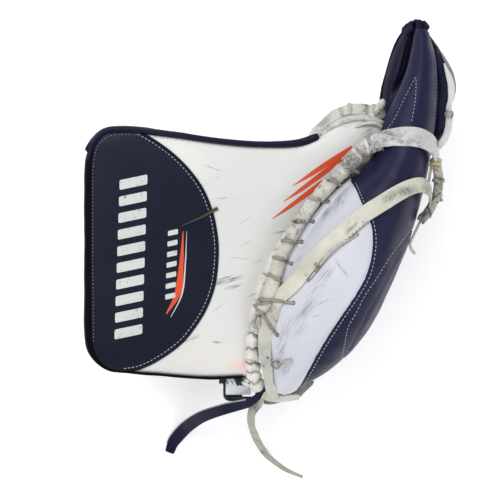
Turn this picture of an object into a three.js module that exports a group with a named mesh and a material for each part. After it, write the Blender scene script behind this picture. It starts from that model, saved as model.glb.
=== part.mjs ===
// An ice hockey goalie's catch glove, closed, lying on its back. Millimetres, +Z up.
// +X runs from the cuff's outer end to the knuckles, +Y from the heel of the hand to the thumb.
// The origin is on the surface that the glove lies on, under the middle of its box.
//
// The thumb side (cuff board, thumb, palm pad, backhand) is the fixed half. The finger side (finger
// shell, its rolled edge and the pocket straps) is folded over it and turns about the knuckle line.
import * as THREE from "three";

// ---------------------------------------------------------------- driving dimensions
const MODEL_SHIFT = new THREE.Vector3(1.65, 4.72, 0); // from the drawing axes used below to the part's origin
const BOARD_TOP = 98; // outer face of the cuff board
const COVER = 2.2; // leather cover
const GAP = 0.6; // between the layers of a sewn stack
const BOARD_FOAM = 13;
const BOARD_PLASTIC = 2.6;
const LINING = 2;
const WALL_BULGE = 6; // how far the cuff's side wall stands out
const BEAD_RADIUS = 6.5; // rolled leather edge
const LACE_RADIUS = 1.5;
const LACE_TURN = 25; // length of rolled edge between two turns of lace
const SHELL_COVER = 2.2;
const SHELL_FOAM = 7;
const SHELL_LINER = 1.8;
const POCKET_STRAP = { width: 14, thickness: 2.4 };
const TAIL = { width: 12, thickness: 2.2 };

// Ribs of the finger shell from the heel to the tip: its front edge, its back edge and its crown's height.
const RIBS = [
  { front: [0, -166, 94], back: [16, -171, 80], crown: 99, seam: 0.6 },
  { front: [-5, -128, 108], back: [60, -144, 74], crown: 122, seam: 0.53 },
  { front: [3, -92, 113], back: [90, -112, 72], crown: 137, seam: 0.6 },
  { front: [17, -57, 114], back: [111, -70, 70], crown: 145, seam: 0.66 },
  { front: [37, -20, 114], back: [128, -28, 70], crown: 147, seam: 0.46 },
  { front: [63, 12, 114], back: [140, 14, 71], crown: 143, seam: 0.14 },
  { front: [90, 39, 113], back: [148, 58, 73], crown: 135, seam: 0 },
  { front: [105, 84, 111], back: [153, 97, 75], crown: 127, seam: 0 },
  { front: [121, 121, 107], back: [151, 130, 77], crown: 118, seam: 0 },
  { front: [130, 160, 98], back: [144, 158, 80], crown: 105, seam: 0 },
];
const SHELL_STEPS = 18;
const WHITE_END = 10 / SHELL_STEPS; // where along the shell the white panel ends

// Centre of the thumb side's rolled edge, from the heel round the end of the thumb.
const THUMB_EDGE = [
  [-14, -166, 84],
  [-21, -130, 91],
  [-22, -100, 92],
  [-14, -64, 92],
  [4, -28, 92],
  [30, 2, 92],
  [60, 30, 91],
  [86, 50, 90],
  [101, 63, 89],
  [102, 75, 89],
  [92, 83, 90],
  [78, 85, 91],
  [63, 82, 92],
  [50, 75, 93],
  [40, 66, 92],
];

// ---------------------------------------------------------------- colours
const WHITE_LEATHER = { color: 0xe4e4e0, roughness: 0.42, metalness: 0 };
const NAVY_LEATHER = { color: 0x1f2140, roughness: 0.4, metalness: 0 };
const LACE_LEATHER = { color: 0xc9c6ba, roughness: 0.7, metalness: 0 };
const GREY_SUEDE = { color: 0x8d8d8c, roughness: 0.9, metalness: 0 };
const FOAM = { color: 0xb9b7ae, roughness: 0.95, metalness: 0 };
const STIFF_PLASTIC = { color: 0x35363a, roughness: 0.5, metalness: 0 };
const BLACK_TEXTILE = { color: 0x17181b, roughness: 0.85, metalness: 0 };
const BLACK_PLASTIC = { color: 0x121316, roughness: 0.35, metalness: 0 };
const WEBBING = { color: 0xdfe0e4, roughness: 0.6, metalness: 0 };

const glove = new THREE.Group();
const assembly = new THREE.Group();
assembly.position.copy(MODEL_SHIFT);
glove.add(assembly);

function add(name, geometry, look) {
  const mesh = new THREE.Mesh(geometry, new THREE.MeshStandardMaterial(look));
  mesh.name = name;
  assembly.add(mesh);
}

// ---------------------------------------------------------------- making solids
const point = (p) => new THREE.Vector3(...p);
const UP = new THREE.Vector3(0, 0, 1);

// A closed surface from points and faces, turned to face out.
function closed(points, faces) {
  let sixVolumes = 0;
  for (const [a, b, c] of faces) {
    sixVolumes += points[a].dot(new THREE.Vector3().crossVectors(points[b], points[c]));
  }
  const facing = sixVolumes < 0 ? faces.map(([a, b, c]) => [a, c, b]) : faces;
  const geometry = new THREE.BufferGeometry();
  geometry.setAttribute(
    "position",
    new THREE.Float32BufferAttribute(points.flatMap((p) => [p.x, p.y, p.z]), 3),
  );
  geometry.setIndex(facing.flat());
  return geometry;
}

// A solid through closed rings of points, with a fan at each end.
function loft(rings) {
  const n = rings[0].length;
  const points = rings.flat();
  const faces = [];
  for (let i = 0; i + 1 < rings.length; i++) {
    for (let j = 0; j < n; j++) {
      const a = i * n + j;
      const b = i * n + ((j + 1) % n);
      faces.push([a, b, b + n], [a, b + n, a + n]);
    }
  }
  for (const [start, turned] of [[0, true], [(rings.length - 1) * n, false]]) {
    for (let j = 1; j + 1 < n; j++) {
      const face = [start, start + j, start + j + 1];
      faces.push(turned ? face.reverse() : face);
    }
  }
  return closed(points, faces);
}

// A solid between two grids of points of the same size.
function slab(outer, inner) {
  const rows = outer.length;
  const columns = outer[0].length;
  const points = [...outer.flat(), ...inner.flat()];
  const top = (i, j) => i * columns + j;
  const under = (i, j) => rows * columns + i * columns + j;
  const faces = [];
  const quad = (a, b, c, d) => faces.push([a, b, c], [a, c, d]);
  for (let i = 0; i + 1 < rows; i++) {
    for (let j = 0; j + 1 < columns; j++) {
      quad(top(i, j), top(i, j + 1), top(i + 1, j + 1), top(i + 1, j));
      faces.push([under(i, j), under(i + 1, j + 1), under(i, j + 1)]);
      faces.push([under(i, j), under(i + 1, j), under(i + 1, j + 1)]);
    }
  }
  for (let i = 0; i + 1 < rows; i++) {
    quad(top(i, 0), top(i + 1, 0), under(i + 1, 0), under(i, 0));
    const last = columns - 1;
    quad(top(i + 1, last), top(i, last), under(i, last), under(i + 1, last));
  }
  for (let j = 0; j + 1 < columns; j++) {
    quad(top(0, j + 1), top(0, j), under(0, j), under(0, j + 1));
    const last = rows - 1;
    quad(top(last, j), top(last, j + 1), under(last, j + 1), under(last, j));
  }
  return closed(points, faces);
}

// A flat plate of an outline, from one height to another.
function plate(shape, low, high, divisions = 4) {
  const geometry = new THREE.ExtrudeGeometry(shape, {
    depth: high - low,
    bevelEnabled: false,
    curveSegments: divisions,
  });
  return geometry.translate(0, 0, low);
}

// A flat strap along a curve. lean gives the direction its broad face looks in, at each share of the length.
function strap(curve, lean, { width, thickness }, steps) {
  const rings = [];
  for (let i = 0; i <= steps; i++) {
    const t = i / steps;
    const centre = curve.getPoint(t);
    const along = curve.getTangent(t);
    const side = new THREE.Vector3().crossVectors(along, lean(t)).normalize();
    const face = new THREE.Vector3().crossVectors(side, along).normalize();
    const corner = (a, b) =>
      centre.clone().addScaledVector(side, (a * width) / 2).addScaledVector(face, (b * thickness) / 2);
    rings.push([corner(-1, -1), corner(1, -1), corner(1, 1), corner(-1, 1)]);
  }
  return loft(rings);
}

// A round tube along a curve.
function tube(curve, radius, steps, sides = 8) {
  const section = new THREE.Shape().absarc(0, 0, radius, 0, 2 * Math.PI);
  return new THREE.ExtrudeGeometry(section, {
    steps,
    extrudePath: curve,
    curveSegments: sides,
    bevelEnabled: false,
  });
}

// A lace wound round a rolled edge.
class WoundLace extends THREE.Curve {
  constructor(edge, from, to) {
    super();
    this.edge = edge;
    this.from = from;
    this.to = to;
    this.turns = Math.round((edge.getLength() * (to - from)) / LACE_TURN);
  }
  getPoint(share) {
    const t = this.from + share * (this.to - this.from);
    const along = this.edge.getTangentAt(t);
    const side = new THREE.Vector3().crossVectors(along, UP).normalize();
    const rise = new THREE.Vector3().crossVectors(side, along);
    const angle = 2 * Math.PI * this.turns * share;
    const reach = BEAD_RADIUS + LACE_RADIUS + 0.9;
    return this.edge
      .getPointAt(t)
      .addScaledVector(side, reach * Math.cos(angle))
      .addScaledVector(rise, reach * Math.sin(angle));
  }
}

const splineOf = (points) => new THREE.CatmullRomCurve3(points);

// ---------------------------------------------------------------- finger shell surface
const frontEdge = splineOf(RIBS.map((rib) => point(rib.front)));
const backEdge = splineOf(RIBS.map((rib) => point(rib.back)));
const crownAndSeam = splineOf(RIBS.map((rib) => new THREE.Vector3(rib.crown, rib.seam, 0)));
const FRONT_FULLNESS = 0.32; // how far in the shell goes on rising from its front edge
const BACK_FULLNESS = 0.97; // how near the back edge it turns down

// The shell's outer surface: u from heel to tip, v from front edge to back edge.
function shellPoint(u, v) {
  const front = frontEdge.getPoint(u);
  const back = backEdge.getPoint(u);
  const rise = crownAndSeam.getPoint(u).x - front.z;
  const first = front.clone().lerp(back, FRONT_FULLNESS).setZ(front.z + 1.4 * rise);
  const second = front.clone().lerp(back, BACK_FULLNESS).setZ(front.z + 1.65 * rise);
  return new THREE.CubicBezierCurve3(front, first, second, back).getPoint(v);
}

function shellNormal(u, v) {
  const d = 0.004;
  const alongU = shellPoint(Math.min(1, u + d), v).sub(shellPoint(Math.max(0, u - d), v));
  const alongV = shellPoint(u, Math.min(1, v + d)).sub(shellPoint(u, Math.max(0, v - d)));
  return alongV.cross(alongU).normalize();
}

function seamAt(u) {
  return Math.max(0.06, crownAndSeam.getPoint(u).y);
}

// Positions across the shell at u: three spans of white panel, then seven of navy.
const WHITE_SPANS = 3;
const NAVY_SPANS = 7;
const NAVY_CROWDING = 1.4; // the navy spans are shorter near the seam
function whiteAcross(u) {
  return Array.from({ length: WHITE_SPANS + 1 }, (_, j) => (seamAt(u) * j) / WHITE_SPANS);
}
function navyAcross(u) {
  const start = u > WHITE_END + 0.01 ? 0 : seamAt(u) + 0.008;
  return Array.from({ length: NAVY_SPANS + 1 }, (_, j) =>
    j ? seamAt(u) + (1 - seamAt(u)) * (j / NAVY_SPANS) ** NAVY_CROWDING : start,
  );
}
function wholeAcross(u) {
  return [...whiteAcross(u), ...navyAcross(u).slice(1)];
}

// A layer of the shell, between two depths under its outer surface. dropped columns at the back edge are left off.
function shellLayer(from, to, across, outerDepth, innerDepth, dropped = 0) {
  const first = Math.round(from * SHELL_STEPS);
  const last = Math.round(to * SHELL_STEPS);
  const grid = (depth) => {
    const rows = [];
    for (let i = first; i <= last; i++) {
      const u = i / SHELL_STEPS;
      rows.push(
        across(u)
          .slice(0, across(u).length - dropped)
          .map((v) => shellPoint(u, v).addScaledVector(shellNormal(u, v), -depth)),
      );
    }
    return rows;
  };
  return slab(grid(outerDepth), grid(innerDepth));
}

// The place on the shell under a point in plan, and the shell's normal there.
function onShell(x, y) {
  let best = { far: Infinity };
  for (let i = 0; i <= 90; i++) {
    for (let j = 0; j <= 60; j++) {
      const place = shellPoint(i / 90, j / 60);
      const far = Math.hypot(place.x - x, place.y - y);
      if (far < best.far) {
        best = { far, place, u: i / 90, v: j / 60 };
      }
    }
  }
  return { place: best.place.setX(x).setY(y), normal: shellNormal(best.u, best.v) };
}

// ---------------------------------------------------------------- cuff and thumb board
function boardShape() {
  const s = new THREE.Shape();
  s.moveTo(-33, -149);
  s.lineTo(-126, -147);
  s.bezierCurveTo(-146, -146, -160, -138, -161, -120);
  s.lineTo(-161, 36);
  s.bezierCurveTo(-161, 56, -150, 66, -132, 65);
  s.splineThru([[-81, 59], [-45, 56], [-9, 54], [26, 55]].map((p) => new THREE.Vector2(...p)));
  s.splineThru(
    [[44, 58], [60, 67], [75, 71], [85, 69], [86, 62]].map((p) => new THREE.Vector2(...p)),
  );
  s.splineThru(
    [[74, 54], [50, 36], [22, 9], [-5, -23], [-25, -60], [-33, -99], [-33, -131]].map(
      (p) => new THREE.Vector2(...p),
    ),
  );
  return s;
}

// A closed outline moved inwards by a distance.
function inset(shape, distance, divisions = 3) {
  const loop = shape.getPoints(divisions);
  if (loop[0].distanceTo(loop[loop.length - 1]) < 0.01) {
    loop.pop();
  }
  const moved = loop.map((p, i) => {
    const before = loop[(i + loop.length - 1) % loop.length];
    const after = loop[(i + 1) % loop.length];
    const along = after.clone().sub(before).normalize();
    return new THREE.Vector2(p.x + along.y * -distance, p.y + along.x * distance);
  });
  return new THREE.Shape(moved);
}

const turnsLeft = (shape) => THREE.ShapeUtils.area(shape.getPoints()) > 0;
const board = boardShape();
const inwards = turnsLeft(board) ? 1 : -1;
const foamTop = BOARD_TOP - COVER - GAP;
const plasticTop = foamTop - BOARD_FOAM - GAP;
const liningTop = plasticTop - BOARD_PLASTIC - GAP;
const boardUnderside = liningTop - LINING;

add("cuff_cover", plate(board, BOARD_TOP - COVER, BOARD_TOP), WHITE_LEATHER);
add("cuff_foam", plate(inset(board, inwards), foamTop - BOARD_FOAM, foamTop), FOAM);
add(
  "cuff_stiffener",
  plate(inset(board, 3 * inwards), plasticTop - BOARD_PLASTIC, plasticTop),
  STIFF_PLASTIC,
);
add("cuff_lining", plate(inset(board, inwards), boardUnderside, liningTop), GREY_SUEDE);

// The navy half-moon sewn over the outer end of the cuff.
function halfMoon() {
  const s = new THREE.Shape();
  s.moveTo(-130, 62);
  s.bezierCurveTo(-149, 62, -158, 54, -158, 36);
  s.lineTo(-158, -120);
  s.bezierCurveTo(-157, -136, -146, -143.5, -130, -144);
  s.absellipse(-130, -41, 83, 103, -Math.PI / 2, Math.PI / 2);
  return s;
}
add("cuff_end_panel", plate(halfMoon(), BOARD_TOP + 0.4, BOARD_TOP + 1.6, 10), NAVY_LEATHER);

// The padded navy wall round the cuff's edge, from the heel round to the start of the thumb.
function cuffWall() {
  const loop = board.getPoints(4);
  const start = 0;
  const end = loop.findIndex((p) => p.x > 25 && p.y > 50);
  const section = [
    [0.6, boardUnderside - 0.4],
    [0.75 * WALL_BULGE, boardUnderside + 2],
    [WALL_BULGE, boardUnderside + 9],
    [0.85 * WALL_BULGE, BOARD_TOP - 4],
    [0.35 * WALL_BULGE, BOARD_TOP],
    [0.6, BOARD_TOP],
  ];
  const rings = [];
  for (let i = start; i <= end; i++) {
    const along = loop[Math.min(i + 1, end)].clone().sub(loop[Math.max(i - 1, start)]).normalize();
    const out = new THREE.Vector2(along.y * inwards, -along.x * inwards);
    rings.push(
      section.map(([far, z]) => new THREE.Vector3(loop[i].x + out.x * far, loop[i].y + out.y * far, z)),
    );
  }
  return loft(rings);
}
add("cuff_edge_wall", cuffWall(), NAVY_LEATHER);

// ---------------------------------------------------------------- rolled edges and their laces
const thumbEdge = splineOf(THUMB_EDGE.map(point));
add("thumb_rolled_edge", tube(thumbEdge, BEAD_RADIUS, 44), LACE_LEATHER);
const thumbLace = new WoundLace(thumbEdge, 0.04, 0.965);
add("thumb_edge_lace", tube(thumbLace, LACE_RADIUS, thumbLace.turns * 9, 5), LACE_LEATHER);

// The finger side's rolled edge runs beside the shell's front edge.
const FINGER_EDGE = { from: 0.205, to: 0.66 };
function fingerEdgePoints() {
  const points = [];
  for (let i = 0; i <= 12; i++) {
    const u = FINGER_EDGE.from + ((FINGER_EDGE.to - FINGER_EDGE.from) * i) / 12;
    const along = frontEdge.getTangent(u);
    const out = new THREE.Vector3(-along.y, along.x, 0).normalize();
    const clear = BEAD_RADIUS + 2 * LACE_RADIUS + 2;
    points.push(frontEdge.getPoint(u).addScaledVector(out, clear).add(new THREE.Vector3(0, 0, -1)));
  }
  return points;
}
const fingerEdge = splineOf(fingerEdgePoints());
add("finger_rolled_edge", tube(fingerEdge, BEAD_RADIUS, 26), LACE_LEATHER);
const fingerLace = new WoundLace(fingerEdge, 0.05, 0.95);
add("finger_edge_lace", tube(fingerLace, LACE_RADIUS, fingerLace.turns * 9, 5), LACE_LEATHER);

// ---------------------------------------------------------------- finger shell
const coverEnd = SHELL_COVER;
const shellFoamTop = coverEnd + 2 * GAP;
const shellFoamEnd = shellFoamTop + SHELL_FOAM;
const linerTop = shellFoamEnd + GAP;
add("finger_shell_white", shellLayer(0, WHITE_END, whiteAcross, 0, coverEnd), WHITE_LEATHER);
add("finger_shell_navy", shellLayer(0, 1, navyAcross, 0, coverEnd), NAVY_LEATHER);
add(
  "finger_shell_foam",
  shellLayer(0.11, 0.9, wholeAcross, shellFoamTop, shellFoamEnd, 1),
  FOAM,
);
add(
  "finger_shell_liner",
  shellLayer(0.16, 0.84, wholeAcross, linerTop, linerTop + SHELL_LINER, 1),
  GREY_SUEDE,
);

// The sleeve that the fingers go in, an arch under the liner.
function fingerSleeve() {
  const rows = (extra) => {
    const made = [];
    for (let i = 0; i <= 6; i++) {
      const u = 0.26 + 0.24 * (i / 6);
      const row = [];
      for (let j = 0; j <= 8; j++) {
        const v = 0.3 + 0.42 * (j / 8);
        const depth = linerTop + SHELL_LINER + 2 + 20 * Math.sin((Math.PI * j) / 8) + extra;
        row.push(shellPoint(u, v).addScaledVector(shellNormal(u, v), -depth));
      }
      made.push(row);
    }
    return made;
  };
  return slab(rows(0), rows(2));
}
add("finger_sleeve", fingerSleeve(), BLACK_TEXTILE);

// ---------------------------------------------------------------- pocket straps
// Each runs up the shell's front edge or off the rolled edge, over the shell, and round its back edge.
function overShell(plan, lift) {
  return plan.map(([x, y]) => {
    const { place, normal } = onShell(x, y);
    return { place: place.addScaledVector(normal, lift), normal };
  });
}
function shellStrap(before, plan, after, steps) {
  const lift = POCKET_STRAP.thickness / 2 + 1.5;
  const stations = [
    ...before.map(([place, normal]) => ({ place: point(place), normal: point(normal) })),
    ...overShell(plan, lift),
    ...after.map(([place, normal]) => ({ place: point(place), normal: point(normal) })),
  ];
  const line = splineOf(stations.map((s) => s.place));
  const facing = splineOf(stations.map((s) => s.normal));
  return strap(line, (t) => facing.getPoint(t), POCKET_STRAP, steps);
}
add(
  "pocket_strap_long",
  shellStrap(
    [],
    [
      [4, -160],
      [3, -142],
      [5, -124],
      [10, -104],
      [17, -83],
      [27, -64],
      [42, -43],
      [62, -19],
      [86, 2],
      [110, 14],
    ],
    [
      [[130, 18, 133], [0.6, 0.2, 0.8]],
      [[143, 14, 113], [0.95, 0, 0.4]],
      [[146.5, 5, 95], [1, 0, 0]],
      [[146, -4, 81], [1, 0, 0]],
    ],
    40,
  ),
  LACE_LEATHER,
);
add(
  "pocket_strap_short",
  shellStrap(
    [
      [[80, 50, 121], [-0.2, 0.4, 0.9]],
      [[97, 56, 128], [-0.3, 0.2, 0.9]],
    ],
    [[112, 59]],
    [
      [[131, 59, 135], [0.5, 0, 0.9]],
      [[148, 52, 119], [0.9, 0, 0.5]],
      [[153, 42, 101], [1, 0, 0]],
      [[152.5, 32, 84], [1, 0, 0]],
    ],
    24,
  ),
  LACE_LEATHER,
);

// ---------------------------------------------------------------- top of the pocket
function flapShape() {
  const s = new THREE.Shape();
  s.moveTo(112, 74);
  s.splineThru([[105, 96], [108, 116], [114, 138], [122, 156]].map((p) => new THREE.Vector2(...p)));
  s.splineThru([[128, 161], [135, 156]].map((p) => new THREE.Vector2(...p)));
  s.splineThru([[138, 130], [139, 97], [134, 72]].map((p) => new THREE.Vector2(...p)));
  return s;
}
add("pocket_top_flap", plate(flapShape(), 76, 88, 4), NAVY_LEATHER);

// The fold that joins the flap to the tip of the finger shell.
function topFold() {
  const turn = [
    [163.5, 79],
    [168, 81],
    [171, 87],
    [170, 94],
    [165.5, 99],
  ];
  const rows = (inwardsBy) =>
    [118, 125, 132, 139, 146].map((x) =>
      turn.map(([y, z], j) => {
        const share = j / (turn.length - 1);
        const drop = 0.012 * (x - 131) ** 2;
        const angle = Math.PI * (share - 0.5);
        return new THREE.Vector3(
          x,
          y - drop - inwardsBy * Math.cos(angle),
          z - inwardsBy * Math.sin(angle),
        );
      }),
    );
  return slab(rows(0), rows(3));
}
add("pocket_top_fold", topFold(), NAVY_LEATHER);

// The strap down the outside of the pocket, and the lace that binds it to both edges.
const WEB_PLAN = [
  [153, 150],
  [160, 128],
  [162.5, 100],
  [160, 74],
  [158, 50],
  [154, 24],
  [149, 4],
  [140, -14],
];
const WEB_MIDDLE = 70;
const webLine = splineOf(WEB_PLAN.map(([x, y]) => new THREE.Vector3(x, y, WEB_MIDDLE)));
add(
  "pocket_web_strap",
  strap(
    webLine,
    (t) => new THREE.Vector3().crossVectors(webLine.getTangent(t), UP),
    { width: 14, thickness: 2.4 },
    20,
  ),
  LACE_LEATHER,
);
function webLacePoints() {
  const points = [];
  const crossings = 16;
  for (let i = 0; i <= crossings; i++) {
    const t = 0.06 + (0.9 * i) / crossings;
    const along = webLine.getTangent(t);
    const out = new THREE.Vector3().crossVectors(along, UP).normalize();
    const side = i % 2 ? 1 : -1;
    points.push(webLine.getPoint(t).addScaledVector(out, 4.2).add(new THREE.Vector3(0, 0, 6.5 * side)));
  }
  return points;
}
add("pocket_web_lace", tube(splineOf(webLacePoints()), LACE_RADIUS, 48, 5), LACE_LEATHER);

// ---------------------------------------------------------------- palm
// A stretch of the glove's cross section at u: share of the way from front to back edge, and height.
function section(u, share, z) {
  return frontEdge.getPoint(u).lerp(backEdge.getPoint(u), share).setZ(z);
}
const crownAt = (u) => crownAndSeam.getPoint(u).x;

// The catching leather, folded in two: in along the palm, round the knuckle line, back under the fingers.
function palmLeather() {
  const grid = (thickness) => {
    const rows = [];
    for (let i = 0; i <= 12; i++) {
      const u = 0.13 + 0.52 * (i / 12);
      const turn = 1 - 22 / frontEdge.getPoint(u).distanceTo(backEdge.getPoint(u));
      const line = splineOf([
        section(u, 0.18, 77),
        section(u, 0.35, 76),
        section(u, 0.9 * turn, 74),
        section(u, turn, 76.5),
        section(u, turn, 83),
        section(u, 0.9 * turn, crownAt(u) - 44),
        section(u, 0.5, crownAt(u) - 42),
        section(u, 0.32, crownAt(u) - 44),
      ]);
      const row = [];
      for (let j = 0; j <= 14; j++) {
        const along = line.getTangent(j / 14);
        const out = new THREE.Vector3().crossVectors(along, frontEdge.getTangent(u)).normalize();
        row.push(line.getPoint(j / 14).addScaledVector(out, thickness));
      }
      rows.push(row);
    }
    return rows;
  };
  return slab(grid(0), grid(1.8));
}
add("palm_leather", palmLeather(), LACE_LEATHER);

// The padded palm under it, on the thumb side.
function palmPad() {
  const shares = [0.2, 0.35, 0.5, 0.64, 0.76];
  const heights = [74, 73, 71.5, 70.5, 70];
  const grid = (drop) => {
    const rows = [];
    for (let i = 0; i <= 9; i++) {
      const u = 0.15 + 0.48 * (i / 9);
      rows.push(shares.map((share, j) => section(u, share, heights[j] - drop)));
    }
    return rows;
  };
  return slab(grid(0), grid(9));
}
add("palm_pad", palmPad(), FOAM);

// ---------------------------------------------------------------- backhand
// Ribs of the backhand shell from the heel to the thumb: its wrist edge and its knuckle edge.
const BACKHAND_RIBS = [
  { wrist: [-36, -134, 16], knuckle: [58, -136, 46] },
  { wrist: [-38, -104, 4], knuckle: [86, -108, 43] },
  { wrist: [-38, -62, 0], knuckle: [105, -68, 41] },
  { wrist: [-37, -18, 0], knuckle: [121, -24, 41] },
  { wrist: [-30, 24, 3], knuckle: [132, 20, 42] },
  { wrist: [2, 58, 14], knuckle: [137, 60, 46] },
];
const wristEdge = splineOf(BACKHAND_RIBS.map((rib) => point(rib.wrist)));
const knuckleEdge = splineOf(BACKHAND_RIBS.map((rib) => point(rib.knuckle)));
function backhandPoint(u, v) {
  const wrist = wristEdge.getPoint(u);
  const knuckle = knuckleEdge.getPoint(u);
  const first = wrist.clone().lerp(knuckle, 0.3).setZ(wrist.z - 10);
  const second = wrist.clone().lerp(knuckle, 0.99).setZ(-10);
  const place = new THREE.CubicBezierCurve3(wrist, first, second, knuckle).getPoint(v);
  return place.setZ(Math.max(0, place.z));
}
function backhandLayer(outer, inner, first, last) {
  const grid = (depth) => {
    const rows = [];
    for (let i = first; i <= last; i++) {
      const row = [];
      for (let j = 0; j <= 10; j++) {
        const [u, v] = [i / 12, j / 10];
        const d = 0.01;
        const alongU = backhandPoint(Math.min(1, u + d), v).sub(backhandPoint(Math.max(0, u - d), v));
        const alongV = backhandPoint(u, Math.min(1, v + d)).sub(backhandPoint(u, Math.max(0, v - d)));
        const up = alongV.cross(alongU).normalize();
        row.push(backhandPoint(u, v).addScaledVector(up, depth));
      }
      rows.push(row);
    }
    return rows;
  };
  return slab(grid(outer), grid(inner));
}
add("backhand_cover", backhandLayer(0, 2.6, 0, 12), NAVY_LEATHER);
add("backhand_pad", backhandLayer(3.2, 11, 1, 11), FOAM);

// The wall of the hand's space on the little finger's side.
function sideWall(low, high, from, to, y, thickness) {
  const s = new THREE.Shape();
  s.moveTo(from, low);
  s.lineTo(to, low);
  s.lineTo(to, high);
  s.lineTo(from, high);
  const geometry = plate(s, 0, thickness);
  return geometry.rotateX(Math.PI / 2).translate(0, y, 0);
}
add("cuff_side_wall", sideWall(21, boardUnderside - 0.6, -138, 2, -112, 7), NAVY_LEATHER);

// The thumb's stall, a soft tube under the board.
const STALL = { outer: 18, inner: 15, from: -8, to: 62, y: 44, z: boardUnderside - 20 };
function thumbStall() {
  const ring = new THREE.Shape().absarc(0, 0, STALL.outer, 0, 2 * Math.PI);
  ring.holes.push(new THREE.Path().absarc(0, 0, STALL.inner, 0, 2 * Math.PI));
  const geometry = plate(ring, 0, STALL.to - STALL.from, 10);
  return geometry.rotateY(Math.PI / 2).translate(STALL.from, STALL.y, STALL.z);
}
add("thumb_stall", thumbStall(), BLACK_TEXTILE);

// ---------------------------------------------------------------- wrist guard
const GUARD = { from: -146, to: -45, low: -100, high: 32, hingeX: -42 };
function guardLayer(outer, inner, margin) {
  const grid = (depth) => {
    const rows = [];
    for (let i = 0; i <= 6; i++) {
      const x = GUARD.from + margin + ((GUARD.to - GUARD.from - 2 * margin) * i) / 6;
      const row = [];
      for (let j = 0; j <= 8; j++) {
        const share = j / 8;
        const y = GUARD.low + margin + (GUARD.high - GUARD.low - 2 * margin) * share;
        const curl = Math.max(0, 0.3 - share) ** 2 * 190 + Math.max(0, share - 0.75) ** 2 * 140;
        row.push(new THREE.Vector3(x, y, 0.3 + curl + depth));
      }
      rows.push(row);
    }
    return rows;
  };
  return slab(grid(outer), grid(inner));
}
add("wrist_guard_cover", guardLayer(0, 2.4, 0), NAVY_LEATHER);
add("wrist_guard_pad", guardLayer(3, 12, 3), FOAM);

// The leather hinge between the guard and the backhand lies on the inside of both.
add(
  "wrist_guard_hinge",
  plate(
    new THREE.Shape(
      [[-60, -55], [-20, -55], [-20, -6], [-60, -6]].map((p) => new THREE.Vector2(...p)),
    ),
    15.2,
    17,
  ),
  GREY_SUEDE,
);

// The hook-and-loop strap that holds the guard shut, up the outside of the side wall.
const WRIST_STRAP = { x: -112, width: 30, thickness: 2.2, low: 5, high: 64 };
add(
  "wrist_strap",
  sideWall(
    WRIST_STRAP.low,
    WRIST_STRAP.high,
    WRIST_STRAP.x - WRIST_STRAP.width / 2,
    WRIST_STRAP.x + WRIST_STRAP.width / 2,
    -120.4,
    WRIST_STRAP.thickness,
  ),
  BLACK_TEXTILE,
);

// ---------------------------------------------------------------- strap ring at the heel
const RING = { x: -22, width: 34, bar: 2.2, y: -159, depth: 18, z: 65 };
function webbingTab() {
  const line = splineOf([
    new THREE.Vector3(RING.x, -128, boardUnderside - 2.2),
    new THREE.Vector3(RING.x, -146, RING.z + 6.4),
    new THREE.Vector3(RING.x, -158, RING.z + 4.6),
    new THREE.Vector3(RING.x, -163.4, RING.z + 1.6),
    new THREE.Vector3(RING.x, -163.4, RING.z - 1.6),
    new THREE.Vector3(RING.x, -158, RING.z - 4.4),
    new THREE.Vector3(RING.x, -140, RING.z - 5),
  ]);
  const side = new THREE.Vector3(1, 0, 0);
  return strap(
    line,
    (t) => new THREE.Vector3().crossVectors(side, line.getTangent(t)),
    { width: 24, thickness: 1.8 },
    16,
  );
}
add("heel_webbing_tab", webbingTab(), WEBBING);
function strapRing() {
  const half = RING.width / 2;
  const outer = new THREE.Shape(
    [[-half, 3], [half, 3], [half, -RING.depth], [-half, -RING.depth]].map(
      (p) => new THREE.Vector2(...p),
    ),
  );
  const inner = half - 3.4;
  outer.holes.push(
    new THREE.Path(
      [[-inner, -1.4], [-inner, 4 - RING.depth], [inner, 4 - RING.depth], [inner, -1.4]].map(
        (p) => new THREE.Vector2(...p),
      ),
    ),
  );
  const geometry = plate(outer, -RING.bar / 2, RING.bar / 2);
  return geometry.translate(RING.x, RING.y, RING.z);
}
add("strap_ring", strapRing(), BLACK_PLASTIC);

// ---------------------------------------------------------------- heel
// The grey suede piece that closes the heel under both edges.
add(
  "heel_gusset",
  plate(
    new THREE.Shape(
      [[0, -158], [14, -162], [40, -158], [30, -167], [12, -175], [-4, -177]].map(
        (p) => new THREE.Vector2(...p),
      ),
    ),
    68,
    71,
  ),
  GREY_SUEDE,
);
// The cut end of the long pocket strap, turned out past the heel.
const tabLine = splineOf([
  new THREE.Vector3(-6, -173, 84),
  new THREE.Vector3(8, -176, 79),
  new THREE.Vector3(24, -174, 75),
]);
add(
  "heel_strap_end",
  strap(tabLine, () => new THREE.Vector3(0, -0.5, 0.9), { width: 9, thickness: 2.2 }, 6),
  LACE_LEATHER,
);

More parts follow.
